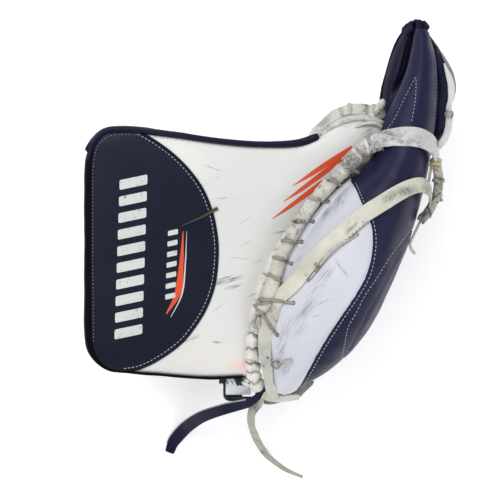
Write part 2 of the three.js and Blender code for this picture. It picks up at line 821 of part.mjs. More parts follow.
// Two leather tails hang from the heel knot and lie on the surface.
const NAVY_TAIL = [
  [[-20, -178, 82], [0, -0.45, 0.9]],
  [[-41.5, -185, 66], [-0.5, -0.3, 0.8]],
  [[-62.5, -194.5, 42], [-0.7, -0.3, 0.6]],
  [[-75, -204, 22], [-0.6, -0.35, 0.7]],
  [[-81, -210, 11], [-0.4, -0.35, 0.85]],
  [[-87, -217, 4.5], [-0.15, -0.15, 1]],
  [[-91.5, -223, 1.5], [0, 0, 1]],
  [[-95, -232, 1.3], [0, 0, 1]],
];
const PALE_TAIL = [
  [[-10, -179, 82], [-0.6, 0, 0.7]],
  [[-15.5, -185, 75], [-0.8, -0.4, 0.5]],
  [[-17, -198, 58], [-0.7, -0.6, 0.5]],
  [[-14, -210, 38], [-0.4, -0.6, 0.6]],
  [[-11, -219, 23], [-0.2, -0.5, 0.8]],
  [[-5.5, -229.5, 9], [-0.1, -0.2, 0.95]],
  [[0, -237, 2], [0, 0, 1]],
  [[16, -249, 1.3], [0, 0, 1]],
  [[32, -256, 1.3], [0, 0, 1]],
];
for (const [name, stations, look] of [
  ["tail_navy", NAVY_TAIL, NAVY_LEATHER],
  ["tail_pale", PALE_TAIL, LACE_LEATHER],
]) {
  const facing = splineOf(stations.map(([, lean]) => point(lean)));
  const line = splineOf(stations.map(([place]) => point(place)));
  add(name, strap(line, (t) => facing.getPoint(t), TAIL, 30), look);
}

export default glove;
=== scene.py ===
"""An ice hockey goalie's catch glove, closed, lying on its back.

Places are written in millimetres along the part's drawing axes (+X from the outer end of the cuff to the
knuckles, +Y from the heel of the hand to the thumb, +Z up) and turned into the frame's metres by metres().
"""
import math

import bmesh
import bpy
import numpy as np
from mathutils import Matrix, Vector, noise
from mathutils.bvhtree import BVHTree
from mathutils.geometry import delaunay_2d_cdt


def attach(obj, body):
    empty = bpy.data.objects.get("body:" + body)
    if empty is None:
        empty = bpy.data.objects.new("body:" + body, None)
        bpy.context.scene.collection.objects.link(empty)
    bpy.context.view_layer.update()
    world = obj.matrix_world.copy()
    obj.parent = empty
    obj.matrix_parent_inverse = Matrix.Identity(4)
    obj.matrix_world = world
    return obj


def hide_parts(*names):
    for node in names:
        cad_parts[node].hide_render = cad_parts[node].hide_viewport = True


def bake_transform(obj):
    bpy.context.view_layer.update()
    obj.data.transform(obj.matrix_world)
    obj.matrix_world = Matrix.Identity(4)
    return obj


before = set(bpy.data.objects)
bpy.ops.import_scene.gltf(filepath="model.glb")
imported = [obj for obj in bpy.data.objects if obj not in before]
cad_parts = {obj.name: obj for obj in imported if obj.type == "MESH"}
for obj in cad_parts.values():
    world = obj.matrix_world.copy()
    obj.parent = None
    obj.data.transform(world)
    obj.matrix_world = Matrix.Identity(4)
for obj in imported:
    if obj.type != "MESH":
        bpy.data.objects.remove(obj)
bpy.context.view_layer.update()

SHIFT = np.array([1.65, 4.72, 0.0])
THUMB, FINGER = "thumb_side", "finger_side"
scene = bpy.context.scene


def metres(points):
    """Points in drawing millimetres, in the frame's metres."""
    return (np.asarray(points, float) + SHIFT) / 1000


# ---------------------------------------------------------------- camera, lamps and world
CAMERA_HEIGHT = 1450.0  # over REFERENCE, the height of the cuff's face
REFERENCE = 95.0
VIEW_CENTRE = (-18, -38.7)
VIEW_WIDTH = 450.0  # seen at the height of the cuff's face
SENSOR = 36
eye = bpy.data.objects.new("camera", bpy.data.cameras.new("camera"))
scene.collection.objects.link(eye)
eye.location = metres([*VIEW_CENTRE, REFERENCE + CAMERA_HEIGHT])
eye.data.sensor_width = SENSOR
eye.data.lens = SENSOR * CAMERA_HEIGHT / VIEW_WIDTH
eye.data.clip_end = 10
scene.camera = eye


AIM = (0, 0, 0.05)


def area_light(name, place, size, power, colour=(1, 1, 1)):
    """A soft rectangular lamp that looks at the glove. Places and sizes are in metres."""
    lamp = bpy.data.objects.new(name, bpy.data.lights.new(name, "AREA"))
    lamp.data.shape = "RECTANGLE"
    lamp.data.size, lamp.data.size_y = size
    lamp.data.energy = power
    lamp.data.color = colour
    lamp.location = place
    lamp.rotation_euler = (Vector(AIM) - Vector(place)).to_track_quat("-Z", "Y").to_euler()
    scene.collection.objects.link(lamp)


area_light("key", (-0.7, 0.9, 1.5), (1.3, 1.0), 20)
area_light("fill", (1.1, -0.5, 1.3), (1.4, 1.2), 8, (0.95, 0.97, 1))
area_light("front", (-0.4, -1.4, 0.9), (1.6, 0.8), 6)
world = bpy.data.worlds.new("studio")
scene.world = world
world.use_nodes = True
backdrop = world.node_tree.nodes["Background"]
backdrop.inputs["Color"].default_value = (0.95, 0.97, 1, 1)
backdrop.inputs["Strength"].default_value = 0.58
scene.view_settings.view_transform = "Standard"


# ---------------------------------------------------------------- materials
class Shader:
    """A principled material with short calls for the nodes that feed it."""

    def __init__(self, name, roughness, sheen=0.0, specular=0.5):
        self.material = bpy.data.materials.new(name)
        self.material.use_nodes = True
        self.tree = self.material.node_tree
        self.out = self.tree.nodes["Principled BSDF"]
        for socket, value in (("Roughness", roughness), ("Sheen Weight", sheen),
                              ("Specular IOR Level", specular)):
            self.out.inputs[socket].default_value = value
        self.place = self.node("ShaderNodeTexCoord").outputs["Object"]

    def node(self, kind, inputs=(), **settings):
        made = self.tree.nodes.new(kind)
        for key, value in settings.items():
            setattr(made, key, value)
        for key, value in dict(inputs).items():
            self.feed(made.inputs[key], value)
        return made

    def feed(self, socket, value):
        if isinstance(value, bpy.types.NodeSocket):
            self.tree.links.new(value, socket)
        else:
            socket.default_value = value

    def noise(self, scale, detail=3.0, roughness=0.55, stretch=None):
        place = self.place
        if stretch is not None:
            turned = {"Vector": place, "Scale": stretch[0], "Rotation": (0, 0, math.radians(stretch[1]))}
            place = self.node("ShaderNodeMapping", turned, vector_type="TEXTURE").outputs["Vector"]
        inputs = {"Vector": place, "Scale": scale, "Detail": detail, "Roughness": roughness}
        return self.node("ShaderNodeTexNoise", inputs).outputs["Fac"]

    def cells(self, scale):
        inputs = {"Vector": self.place, "Scale": scale}
        return self.node("ShaderNodeTexVoronoi", inputs, feature="F1").outputs["Distance"]

    def ramp(self, value, low, high, to_low=0.0, to_high=1.0):
        inputs = {"Value": value, "From Min": low, "From Max": high, "To Min": to_low, "To Max": to_high}
        return self.node("ShaderNodeMapRange", inputs, interpolation_type="SMOOTHSTEP").outputs["Result"]

    def math(self, operation, a, b=0.5):
        return self.node("ShaderNodeMath", {0: a, 1: b}, operation=operation).outputs["Value"]

    def times(self, a, b):
        return self.math("MULTIPLY", a, b)

    def most(self, a, b):
        return self.math("MAXIMUM", a, b)

    def mix(self, share, a, b):
        low, high = (c if isinstance(c, bpy.types.NodeSocket) else (*c, 1) for c in (a, b))
        return self.node("ShaderNodeMix", {0: share, 6: low, 7: high}, data_type="RGBA").outputs[2]

    def blot(self, place, size, turn):
        """1 at a place in plan, falling to 0 at an ellipse round it, in drawing millimetres and degrees."""
        x, y, _ = metres([*place, 0])
        inputs = {"Vector": self.place, "Location": (x, y, 0.1), "Rotation": (0, 0, math.radians(turn)),
                  "Scale": (size[0] / 1000, size[1] / 1000, 10)}
        mapping = self.node("ShaderNodeMapping", inputs, vector_type="TEXTURE")
        length = self.node("ShaderNodeVectorMath", {0: mapping.outputs["Vector"]}, operation="LENGTH")
        return self.ramp(length.outputs["Value"], 1.0, 0.15)

    def bump(self, height, strength, distance, under=None):
        inputs = {"Strength": strength, "Distance": distance, "Height": height}
        if under is not None:
            inputs["Normal"] = under
        return self.node("ShaderNodeBump", inputs).outputs["Normal"]

    def finish(self, colour=None, normal=None, roughness=None):
        for socket, value in (("Base Color", colour), ("Normal", normal), ("Roughness", roughness)):
            if value is not None:
                self.feed(self.out.inputs[socket], value)
        return self.material


def smooth_leather(name, light, dark, roughness, scuffs=(), scuff_colour=None, blots=(), grain=0.12,
                   speckle=0.0, specular=0.5):
    """Coated leather: fine pebble grain, soft creases, tone that varies, and the scuffs given, with tinted
    blots that are stains and, on the board, a painted shadow.
    """
    s = Shader(name, roughness, specular=specular)
    colour = s.mix(s.ramp(s.noise(9, 4), 0.3, 0.75), light, dark)
    for place, size, turn, tint, strength in blots:
        share = s.times(s.blot(place, size, turn), strength)
        share = s.times(share, s.ramp(s.noise(40, 3), 0.25, 0.7, 0.45, 1.0))
        colour = s.mix(share, colour, tint)
    worn = None
    for place, size, turn, strength in scuffs:
        streak = s.noise(1.0, 4, 0.7, ((1 / 70, 1 / 1000, 1 / 70), turn))
        mark = s.times(s.blot(place, size, turn), s.ramp(streak, 0.44, 0.58, 0, strength))
        worn = mark if worn is None else s.most(worn, mark)
    if speckle:
        specks = s.ramp(s.noise(420, 2), 0.68, 0.75, 0, speckle)
        specks = s.times(specks, s.ramp(s.noise(22, 3), 0.45, 0.65))
        worn = specks if worn is None else s.most(worn, specks)
    if worn is not None:
        colour = s.mix(worn, colour, scuff_colour)
    pebble = s.math("ADD", s.times(s.cells(900), 0.5), s.noise(1500, 2))
    normal = s.bump(pebble, grain, 0.0004)
    normal = s.bump(s.noise(28, 4, 0.6), 0.22, 0.002, normal)
    rough = s.ramp(s.noise(55, 4), 0.3, 0.7, roughness - 0.05, roughness + 0.09)
    return s.finish(colour, normal, rough)


def raw_leather(name, light, dark, shade_and_dirt, amount, roughness=0.72, grain=0.5, blots=()):
    """Uncoated lace and strap leather: fibrous, wrinkled, dirty in blotches, and darker with painted shade
    and dirt where its point attribute says.
    """
    s = Shader(name, roughness, sheen=0.05, specular=0.2)
    colour = s.mix(s.ramp(s.noise(26, 5, 0.65), 0.3, 0.72), light, dark)
    broad = s.noise(48, 7, 0.72)
    fine = s.noise(420, 4, 0.75)
    blotch = s.ramp(s.math("ADD", broad, s.times(fine, 0.35)), 0.83 - 0.16 * amount, 0.93 - 0.1 * amount)
    line = s.math("ABSOLUTE", s.math("SUBTRACT", s.noise(85, 5, 0.7), 0.5))
    wrinkle = s.times(s.ramp(line, 0.0, 0.016, 1, 0), s.ramp(s.noise(30, 2), 0.42, 0.6))
    soil_and_shade = s.most(s.times(blotch, 0.85), s.times(wrinkle, 0.7 * amount))
    for place, size, turn, strength in blots:
        spot = s.times(s.blot(place, size, turn), s.ramp(broad, 0.36, 0.54, 0, strength))
        soil_and_shade = s.most(soil_and_shade, s.times(spot, s.ramp(fine, 0.35, 0.6, 0.3, 1)))
    # The point attribute paints shade into pinches, creases, lace ends and strap sides, along with dirt. The
    # dark colour serves both the dirt and the painted shade.
    painted_shade_and_dirt = s.node("ShaderNodeAttribute", attribute_name="shade_and_dirt").outputs["Fac"]
    painted_shade_and_dirt = s.ramp(s.math("ADD", painted_shade_and_dirt, s.times(s.math("SUBTRACT", broad, 0.5), 0.9)), 0.15, 1.0)
    soil_and_shade = s.most(soil_and_shade, painted_shade_and_dirt)
    colour = s.mix(s.math("MINIMUM", soil_and_shade, 0.97), colour, shade_and_dirt)
    normal = s.bump(s.noise(900, 3, 0.7), grain * 0.5, 0.0006)
    normal = s.bump(s.noise(110, 5, 0.65), grain, 0.0022, normal)
    return s.finish(colour, normal)


def weave(name, colour, dark, pitch, roughness=0.8):
    """Woven textile: two crossing bands of yarn."""
    s = Shader(name, roughness, sheen=0.25)
    bands = []
    for axis in "XY":
        inputs = {"Vector": s.place, "Scale": 0.5 / pitch, "Distortion": 0.6}
        wave = s.node("ShaderNodeTexWave", inputs, wave_type="BANDS", bands_direction=axis)
        bands.append(wave.outputs["Fac"])
    cloth = s.times(bands[0], bands[1])
    tone = s.mix(s.times(cloth, s.ramp(s.noise(30, 3), 0.2, 0.8, 0.6, 1)), dark, colour)
    return s.finish(tone, s.bump(cloth, 0.5, 0.0005))


def flat_print(name, colour, worn_colour, wear):
    """Screen print on leather: a thin coat of ink, worn through in specks."""
    s = Shader(name, 0.45)
    specks = s.ramp(s.noise(260, 5, 0.7), 0.56, 0.7, 0, wear)
    tone = s.mix(s.ramp(s.noise(18, 3), 0.3, 0.7, 0, 0.5), colour, tuple(c * 0.86 for c in colour))
    return s.finish(s.mix(specks, tone, worn_colour), s.bump(s.noise(1400, 2), 0.15, 0.0003))


def thread(name, colour):
    s = Shader(name, 0.7, sheen=0.2)
    tone = s.mix(s.ramp(s.noise(300, 2), 0.3, 0.7), colour, tuple(c * 0.7 for c in colour))
    return s.finish(tone, s.bump(s.noise(2500, 2), 0.4, 0.0003))


SCUFFS_BOARD = [
    ((-40, -66), (20, 4.5), 14, 1.0), ((-34, -72), (13, 2.2), 17, 0.95), ((-8, -48), (13, 1.8), 15, 0.8),
    ((-12, -78), (15, 1.5), 18, 0.7), ((-72, -119), (13, 2.2), 22, 0.95), ((-46, -122), (8, 1.7), -8, 0.95),
    ((-52, 24), (16, 1.3), 28, 0.6), ((-49, 34), (14, 1.3), -22, 0.55), ((-40, 8), (14, 1.2), 4, 0.55),
    ((12, -22), (15, 1.6), 12, 0.6), ((88, 66), (9, 7), 40, 0.75), ((68, 74), (12, 4), 10, 0.5),
    ((-24, -34), (12, 1.1), 24, 0.5), ((10, 8), (16, 1.3), 20, 0.4), ((-28, -46), (14, 1.0), -6, 0.45),
    ((-46, -90), (10, 1.0), 34, 0.4), ((-86, -128), (9, 1.0), 10, 0.4), ((-22, -12), (12, 0.9), 30, 0.35),
]
STAINS_AND_SHADOW_BOARD = [
    ((-27, -143), (17, 8), 0, (0.86, 0.40, 0.34), 0.65),
    ((-55, -134), (48, 18), 0, (0.84, 0.70, 0.63), 0.3),
    # Painted warm shadow on the board beside the heel's rolled edge.
    ((-16, -100), (12, 60), 0, (0.62, 0.55, 0.50), 0.45),
    ((30, 2), (60, 7), 38, (0.52, 0.49, 0.46), 0.4),
    ((-100, 40), (60, 40), 0, (0.84, 0.85, 0.76), 0.3),
]
white_board = smooth_leather("white_board_leather", (0.66, 0.665, 0.635), (0.61, 0.612, 0.585), 0.42,
                             SCUFFS_BOARD, (0.06, 0.06, 0.062), STAINS_AND_SHADOW_BOARD, speckle=0.12)
SCUFFS_PANEL = [
    ((62, 6), (17, 6), 62, 0.7), ((50, -6), (12, 4), 60, 0.6), ((60, -52), (10, 2.2), -55, 0.85),
    ((64, -58), (7, 1.8), -50, 0.8), ((44, -66), (28, 7), 52, 0.6), ((30, -92), (24, 8), 50, 0.55),
    ((12, -112), (22, 6), 66, 0.55), ((24, -110), (14, 5), 40, 0.45), ((10, -128), (12, 5), 60, 0.6),
    ((14, -146), (8, 4), 70, 0.6), ((26, -46), (9, 3), 40, 0.35), ((46, -84), (11, 1.2), 24, 0.55),
    ((40, -96), (9, 1.0), 18, 0.55), ((36, -78), (13, 3), 60, 0.45), ((66, -20), (8, 4), 70, 0.35),
]
white_panel = smooth_leather("white_panel_leather", (0.60, 0.605, 0.655), (0.53, 0.535, 0.585), 0.4,
                             SCUFFS_PANEL, (0.12, 0.12, 0.15), speckle=0.4)
navy_cuff = smooth_leather("navy_cuff_leather", (0.0050, 0.0072, 0.0195), (0.0036, 0.0052, 0.0145), 0.45,
                           grain=0.14, specular=0.16)
navy_wall = smooth_leather("navy_wall_leather", (0.0010, 0.0009, 0.0018), (0.0008, 0.0007, 0.0012), 0.5,
                           specular=0.07)
navy_shell = smooth_leather("navy_shell_leather", (0.0120, 0.0115, 0.043),
                            (0.0085, 0.008, 0.031), 0.42, specular=0.17)
navy_strip = smooth_leather("navy_strip_leather", (0.040, 0.038, 0.072), (0.028, 0.027, 0.054), 0.5,
                            grain=0.35, specular=0.22)
navy_top = smooth_leather("navy_top_leather", (0.0080, 0.0078, 0.030),
                          (0.0050, 0.0048, 0.019), 0.42, specular=0.13)
# Dark colour of grime, and of the painted shade in creases, pinches and lace ends.
GRIME_AND_SHADE = (0.060, 0.056, 0.050)
lace_white = raw_leather("lace_leather", (0.55, 0.53, 0.47), (0.36, 0.34, 0.29), GRIME_AND_SHADE, 0.85)
lace_soiled = raw_leather("soiled_lace_leather", (0.36, 0.34, 0.30), (0.22, 0.205, 0.175),
                          (0.03, 0.028, 0.026), 0.7)
BLOTS_BEAD = [((70, 40), (20, 16), 35, 0.95), ((58, 27), (14, 10), 40, 0.9), ((40, 5), (10, 7), 45, 0.5),
              ((88, 52), (14, 9), 20, 0.95), ((48, 76), (12, 5), 35, 0.7), ((-12, -104), (10, 10), 0, 0.6)]
bead_leather = raw_leather("rolled_edge_leather", (0.66, 0.63, 0.56), (0.49, 0.465, 0.405),
                           (0.085, 0.083, 0.075), 0.66, 0.68, 0.75, blots=BLOTS_BEAD)
thumb_leather = raw_leather("thumb_edge_leather", (0.68, 0.675, 0.635), (0.52, 0.51, 0.465),
                            (0.085, 0.083, 0.076), 0.8, 0.6, 0.7, blots=BLOTS_BEAD)
heel_leather = raw_leather("heel_edge_leather", (0.74, 0.72, 0.66), (0.56, 0.53, 0.47),
                           (0.085, 0.078, 0.07), 0.42, 0.6, 0.7)
BLOTS_LONG = [((118, 13), (16, 7), 10, 0.8), ((104, 8), (13, 6), 35, 0.75), ((136, 14), (9, 8), 0, 0.6),
              ((70, -20), (12, 2.5), 45, 0.7), ((44, -48), (14, 2), 47, 0.6)]
strap_leather = raw_leather("strap_leather", (0.655, 0.64, 0.55), (0.50, 0.49, 0.41),
                            (0.10, 0.10, 0.095), 0.42, blots=BLOTS_LONG)
BLOTS_SHORT = [((96, 56), (12, 8), 10, 0.95), ((104, 64), (9, 5), 0, 0.9), ((118, 57), (14, 5), 0, 0.95),
               ((110, 60), (8, 8), 0, 0.8), ((132, 60), (12, 3), -10, 0.6)]
strap_dirty = raw_leather("dirty_strap_leather", (0.66, 0.66, 0.63), (0.50, 0.50, 0.475),
                          (0.06, 0.062, 0.066), 0.95, blots=BLOTS_SHORT)
heel_strap_leather = raw_leather("heel_strap_leather", (0.56, 0.55, 0.49), (0.43, 0.42, 0.37), GRIME_AND_SHADE, 0.62)
yellow_lace = raw_leather("yellow_lace_leather", (0.56, 0.53, 0.27), (0.38, 0.35, 0.17), GRIME_AND_SHADE, 0.5)
web_leather = raw_leather("clean_strap_leather", (0.74, 0.74, 0.72), (0.60, 0.60, 0.57),
                          (0.10, 0.10, 0.10), 0.35)
tail_leather = raw_leather("pale_tail_leather", (0.42, 0.40, 0.33), (0.32, 0.305, 0.25),
                           (0.12, 0.115, 0.10), 0.5)
suede = raw_leather("grey_suede", (0.33, 0.335, 0.34), (0.20, 0.205, 0.21), (0.08, 0.08, 0.08), 0.5, 0.9)
palm_material = raw_leather("palm_leather_worn", (0.50, 0.44, 0.35), (0.38, 0.33, 0.26),
                            (0.10, 0.08, 0.06), 0.6)
dark_lace = raw_leather("dark_cord", (0.075, 0.06, 0.035), (0.04, 0.032, 0.02), (0.012, 0.011, 0.01), 0.5)
black_lace = raw_leather("black_lacing", (0.030, 0.030, 0.034), (0.016, 0.016, 0.018),
                         (0.10, 0.10, 0.10), 0.4)
black_cloth = weave("black_textile_weave", (0.030, 0.030, 0.034), (0.006, 0.006, 0.008), 0.0011)
dark_pile = raw_leather("dark_pile_cloth", (0.05, 0.05, 0.055), (0.03, 0.03, 0.034),
                        (0.012, 0.012, 0.014), 0.5, 0.95)
grey_mesh = weave("grey_lining_weave", (0.17, 0.17, 0.19), (0.08, 0.08, 0.09), 0.0014)
white_web = weave("white_webbing_weave", (0.93, 0.94, 0.96), (0.74, 0.76, 0.80), 0.0012, 0.6)
white_thread = thread("white_thread", (0.50, 0.51, 0.60))
dull_thread = thread("dull_thread", (0.26, 0.26, 0.33))
tan_thread = thread("tan_thread", (0.17, 0.14, 0.105))
print_white = flat_print("white_print", (0.58, 0.59, 0.565), (0.05, 0.055, 0.07), 0.7)
print_orange = flat_print("orange_print", (0.68, 0.062, 0.011), (0.50, 0.15, 0.08), 0.25)
plastic = Shader("black_plastic_moulded", 0.35)
shade = plastic.mix(plastic.ramp(plastic.noise(60, 4), 0.4, 0.7), (0.007, 0.007, 0.009), (0.02, 0.02, 0.023))
black_plastic = plastic.finish(shade, plastic.bump(plastic.noise(700, 2), 0.2, 0.0004))


# ---------------------------------------------------------------- curves and meshes
class Spline:
    """Centripetal Catmull-Rom curve through points, read at shares of its spans."""

    def __init__(self, points):
        p = np.array(points, float)
        wide = np.vstack([2 * p[0] - p[1], p, 2 * p[-1] - p[-2]])
        self.spans = []
        for p0, p1, p2, p3 in zip(wide, wide[1:], wide[2:], wide[3:]):
            d0, d1, d2 = (max(np.dot(b - a, b - a) ** 0.25, 1e-4) for a, b in ((p0, p1), (p1, p2), (p2, p3)))
            t1 = ((p1 - p0) / d0 - (p2 - p0) / (d0 + d1) + (p2 - p1) / d1) * d1
            t2 = ((p2 - p1) / d1 - (p3 - p1) / (d1 + d2) + (p3 - p2) / d2) * d1
            self.spans.append((p1, t1, 3 * (p2 - p1) - 2 * t1 - t2, 2 * (p1 - p2) + t1 + t2))
        self.spans = np.array(self.spans)

    def at(self, share):
        share = np.clip(np.asarray(share, float), 0, 1) * len(self.spans)
        span = np.minimum(share.astype(int), len(self.spans) - 1)
        w = (share - span)[..., None]
        c = self.spans[span]
        return c[..., 0, :] + w * (c[..., 1, :] + w * (c[..., 2, :] + w * c[..., 3, :]))

    def even(self, count):
        """count points at even distances along the curve."""
        return resample(self.at(np.linspace(0, 1, 40 * len(self.spans) + 1)), count)


def lengths(points):
    """How far along a line each of its points is."""
    return np.concatenate([[0], np.cumsum(np.linalg.norm(np.diff(points, axis=0), axis=1))])


def resample(points, count):
    points = np.asarray(points, float)
    far = lengths(points)
    return read_at(np.linspace(0, far[-1], count), far, points)


def read_at(where, far, rows):
    """Rows of numbers known at the distances far, read at where."""
    return np.stack([np.interp(where, far, rows[:, k]) for k in range(rows.shape[1])], 1)


def spread(values, count):
    """count values that run evenly through the ones given."""
    return np.interp(np.linspace(0, 1, count), np.linspace(0, 1, len(values)), values)


def bezier(a, b, c, d, w):
    """A cubic curve from a to d, drawn towards b and c."""
    return (1 - w) ** 3 * a + 3 * (1 - w) ** 2 * w * b + 3 * (1 - w) * w ** 2 * c + w ** 3 * d


def unit(v):
    v = np.asarray(v, float)
    return v / np.maximum(np.linalg.norm(v, axis=-1, keepdims=True), 1e-9)


def left_of(line):
    """Directions in plan to the left of a line."""
    along = unit(np.gradient(line, axis=0))
    return np.stack([-along[:, 1], along[:, 0]], 1)


def rounded(corners, radius, steps):
    """A closed outline in plan with its corners rounded off."""
    points = []
    for k in range(len(corners)):
        before, here, after = (np.array(corners[i % len(corners)], float) for i in (k - 1, k, k + 1))
        a, b = here + unit(before - here) * radius, here + unit(after - here) * radius
        points += [(1 - t) ** 2 * a + 2 * t * (1 - t) * here + t ** 2 * b for t in np.linspace(0, 1, steps)]
    return np.array(points)


def declare(made, slot, *nodes, fill=None):
    """Hides the CAD nodes that a piece stands for and gives the piece back. slot, what the piece is made of,
    and fill, how full a padded one is, are not used.
    """
    if nodes:
        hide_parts(*nodes)
    return made


def make(name, points, faces, material, body=None, smooth=50.0, bevel=0.0, shade_and_dirt=None):
    """A mesh object from points in drawing millimetres. It rides on the body, if one is given."""
    mesh = bpy.data.meshes.new(name)
    mesh.from_pydata([tuple(p) for p in metres(points)], [], [tuple(int(i) for i in f) for f in faces])
    # Per-point painted shade in creases, pinches, lace ends and strap sides, with some dirt, which the
    # leather materials darken by.
    if shade_and_dirt is not None:
        mesh.attributes.new("shade_and_dirt", "FLOAT", "POINT").data.foreach_set("value", np.asarray(shade_and_dirt, np.float32))
    work = bmesh.new()
    work.from_mesh(mesh)
    bmesh.ops.remove_doubles(work, verts=work.verts, dist=1e-6)
    bmesh.ops.recalc_face_normals(work, faces=work.faces)
    work.to_mesh(mesh)
    work.free()
    mesh.validate()
    for polygon in mesh.polygons:
        polygon.use_smooth = True
    mesh.set_sharp_from_angle(angle=math.radians(smooth))
    mesh.materials.append(material)
    made = bpy.data.objects.new(name, mesh)
    scene.collection.objects.link(made)
    if bevel:
        edge = made.modifiers.new("edge", "BEVEL")
        edge.width = bevel / 1000
        edge.segments = 2
        edge.limit_method = "ANGLE"
        edge.angle_limit = math.radians(50)
    if body:
        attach(made, body)
    return made


def grid_faces(rows, columns, wrap=False):
    faces = []
    for i in range(rows - 1):
        for j in range(columns if wrap else columns - 1):
            here, below, k = i * columns, (i + 1) * columns, (j + 1) % columns
            faces.append((here + j, here + k, below + k, below + j))
    return faces


def both_layers(faces, count):
    """The faces of two equal layers of count points, the second turned the other way."""
    return [tuple(f) for f in faces] + [tuple(i + count for i in f[::-1]) for f in faces]


def tube_faces(rows, sides):
    """Faces of a row of rings, closed at both ends."""
    last = (rows - 1) * sides
    ends = [tuple(range(sides - 1, -1, -1)), tuple(last + j for j in range(sides))]
    return grid_faces(rows, sides, wrap=True) + ends


def hoop_faces(rows, sides):
    """Faces of a row of rings that closes on itself."""
    last = (rows - 1) * sides
    joins = [(last + j, last + (j + 1) % sides, (j + 1) % sides, j) for j in range(sides)]
    return grid_faces(rows, sides, wrap=True) + joins


def rumple(points, size):
    """Smooth noise of about a size at each point of a grid."""
    found = [noise.noise(Vector(p) / size) for p in points.reshape(-1, 3)]
    return np.array(found).reshape(points.shape[:2])


def slab(name, outer, inner, material, body=None, bevel=0.6, **more):
    """A closed layer between two grids of points."""
    rows, columns = outer.shape[:2]
    count = rows * columns
    points = np.vstack([outer.reshape(-1, 3), inner.reshape(-1, 3)])
    faces = both_layers(grid_faces(rows, columns), count)
    rim = [i * columns for i in range(rows)] + [(rows - 1) * columns + j for j in range(1, columns)]
    rim += [i * columns + columns - 1 for i in range(rows - 2, -1, -1)] + list(range(columns - 2, 0, -1))
    for a, b in zip(rim, rim[1:] + rim[:1]):
        faces.append((a, b, b + count, a + count))
    return make(name, points, faces, material, body, bevel=bevel, **more)


def sweep(name, path, across, face, width, thickness, material, body=None, sides=16, power=2.0, curl=0.0,
          round_ends=True, smooth=60.0, collect=False, edge_shade_and_dirt=0.5, end_shade=(0.0, 0.0)):
    """A solid swept along path. width and thickness may vary; power 2 is an ellipse, higher is flatter."""
    path = np.asarray(path, float)
    n = len(path)
    width = np.broadcast_to(np.asarray(width, float), (n,)) / 2
    thickness = np.broadcast_to(np.asarray(thickness, float), (n,)) / 2
    angle = np.linspace(0, 2 * np.pi, sides, endpoint=False)
    cos = np.sign(np.cos(angle)) * np.abs(np.cos(angle)) ** (2 / power)
    sin = np.sign(np.sin(angle)) * np.abs(np.sin(angle)) ** (2 / power)
    rings = (path[:, None] + across[:, None] * (width[:, None] * cos)[..., None]
             + face[:, None] * (thickness[:, None] * sin - curl * width[:, None] * cos ** 2)[..., None])
    if round_ends:
        along = unit(np.gradient(path, axis=0))
        head, tail = [], []
        for share in (0.35, 0.7, 0.92):
            size = 0.4 + 0.6 * math.sqrt(1 - share ** 2)
            head.append(path[0] - along[0] * thickness[0] * share + (rings[0] - path[0]) * size)
            tail.append(path[-1] + along[-1] * thickness[-1] * share + (rings[-1] - path[-1]) * size)
        rings = np.concatenate([np.array(head[::-1]), rings, np.array(tail)])
    faces = tube_faces(len(rings), sides)
    points = rings.reshape(-1, 3)
    t = np.linspace(0, 1, len(rings))[:, None]
    # Painted shade, with some dirt, along the sides of the section, and painted shade towards the ends, where
    # a piece goes into a hole or under another part.
    shade_and_dirt = edge_shade_and_dirt * np.abs(cos) ** 8 + end_shade[0] * np.exp(-t * 7) + end_shade[1] * np.exp(-(1 - t) * 7)
    if collect:
        return points, faces, shade_and_dirt.ravel()
    return make(name, points, faces, material, body, smooth=smooth, shade_and_dirt=shade_and_dirt.ravel())


def make_all(name, parts, material, body=None, smooth=60.0):
    """One object from several lists of points, faces and, if they have it, painted shade and dirt."""
    points, faces, shade_and_dirt, start = [], [], [], 0
    for p, f, *more in parts:
        points.append(p)
        faces += [tuple(i + start for i in face) for face in f]
        shade_and_dirt.append(more[0] if more else np.zeros(len(p)))
        start += len(p)
    return make(name, np.vstack(points), faces, material, body, smooth=smooth, shade_and_dirt=np.concatenate(shade_and_dirt))


def frame_of(path, up):
    """Directions across and out of a band that follows path and looks to up."""
    along = unit(np.gradient(np.asarray(path, float), axis=0))
    across = unit(np.cross(along, up))
    return across, unit(np.cross(across, along))


class Surface:
    """What lies straight below a point in plan, on the objects given."""

    def __init__(self, *objects):
        graph = bpy.context.evaluated_depsgraph_get()
        points, faces = [], []
        for o in objects:
            shape = o.evaluated_get(graph).to_mesh()
            matrix = o.matrix_world
            start = len(points)
            points += [matrix @ v.co for v in shape.vertices]
            faces += [[i + start for i in p.vertices] for p in shape.polygons]
            o.evaluated_get(graph).to_mesh_clear()
        self.tree = BVHTree.FromPolygons(points, faces)

    def drop(self, plan, lift=0.0):
        places, normals = [], []
        for x, y in plan:
            start = Vector(metres([x, y, 300]))
            hit, normal, _, _ = self.tree.ray_cast(start, Vector((0, 0, -1)))
            if hit is None:
                hit, normal, _, _ = self.tree.find_nearest(Vector(metres([x, y, 100])))
            if normal.z < 0:
                normal = -normal
            places.append(np.array(hit) * 1000 - SHIFT + lift * np.array(normal))
            normals.append(np.array(normal))
        return np.array(places), np.array(normals)


def dashes(path, normals, length=2.2, gap=1.4, width=0.62, height=0.5, start=0.8):
    """Stitches along a line on a surface."""
    far = lengths(path)
    parts = []
    s = start
    while s + length < far[-1]:
        where = np.linspace(s, s + length, 5)
        line = read_at(where, far, path)
        up = unit(read_at(where, far, normals))
        line = line + up * (height * np.array([-0.35, 0.25, 0.4, 0.25, -0.35]))[:, None]
        across, face = frame_of(line, up)
        parts.append(sweep("", line, across, face, width * np.array([0.6, 1, 1, 1, 0.6]),
                           height * np.array([0.7, 1, 1, 1, 0.7]), None, sides=6,
                           round_ends=False, collect=True))
        s += length + gap
    return parts


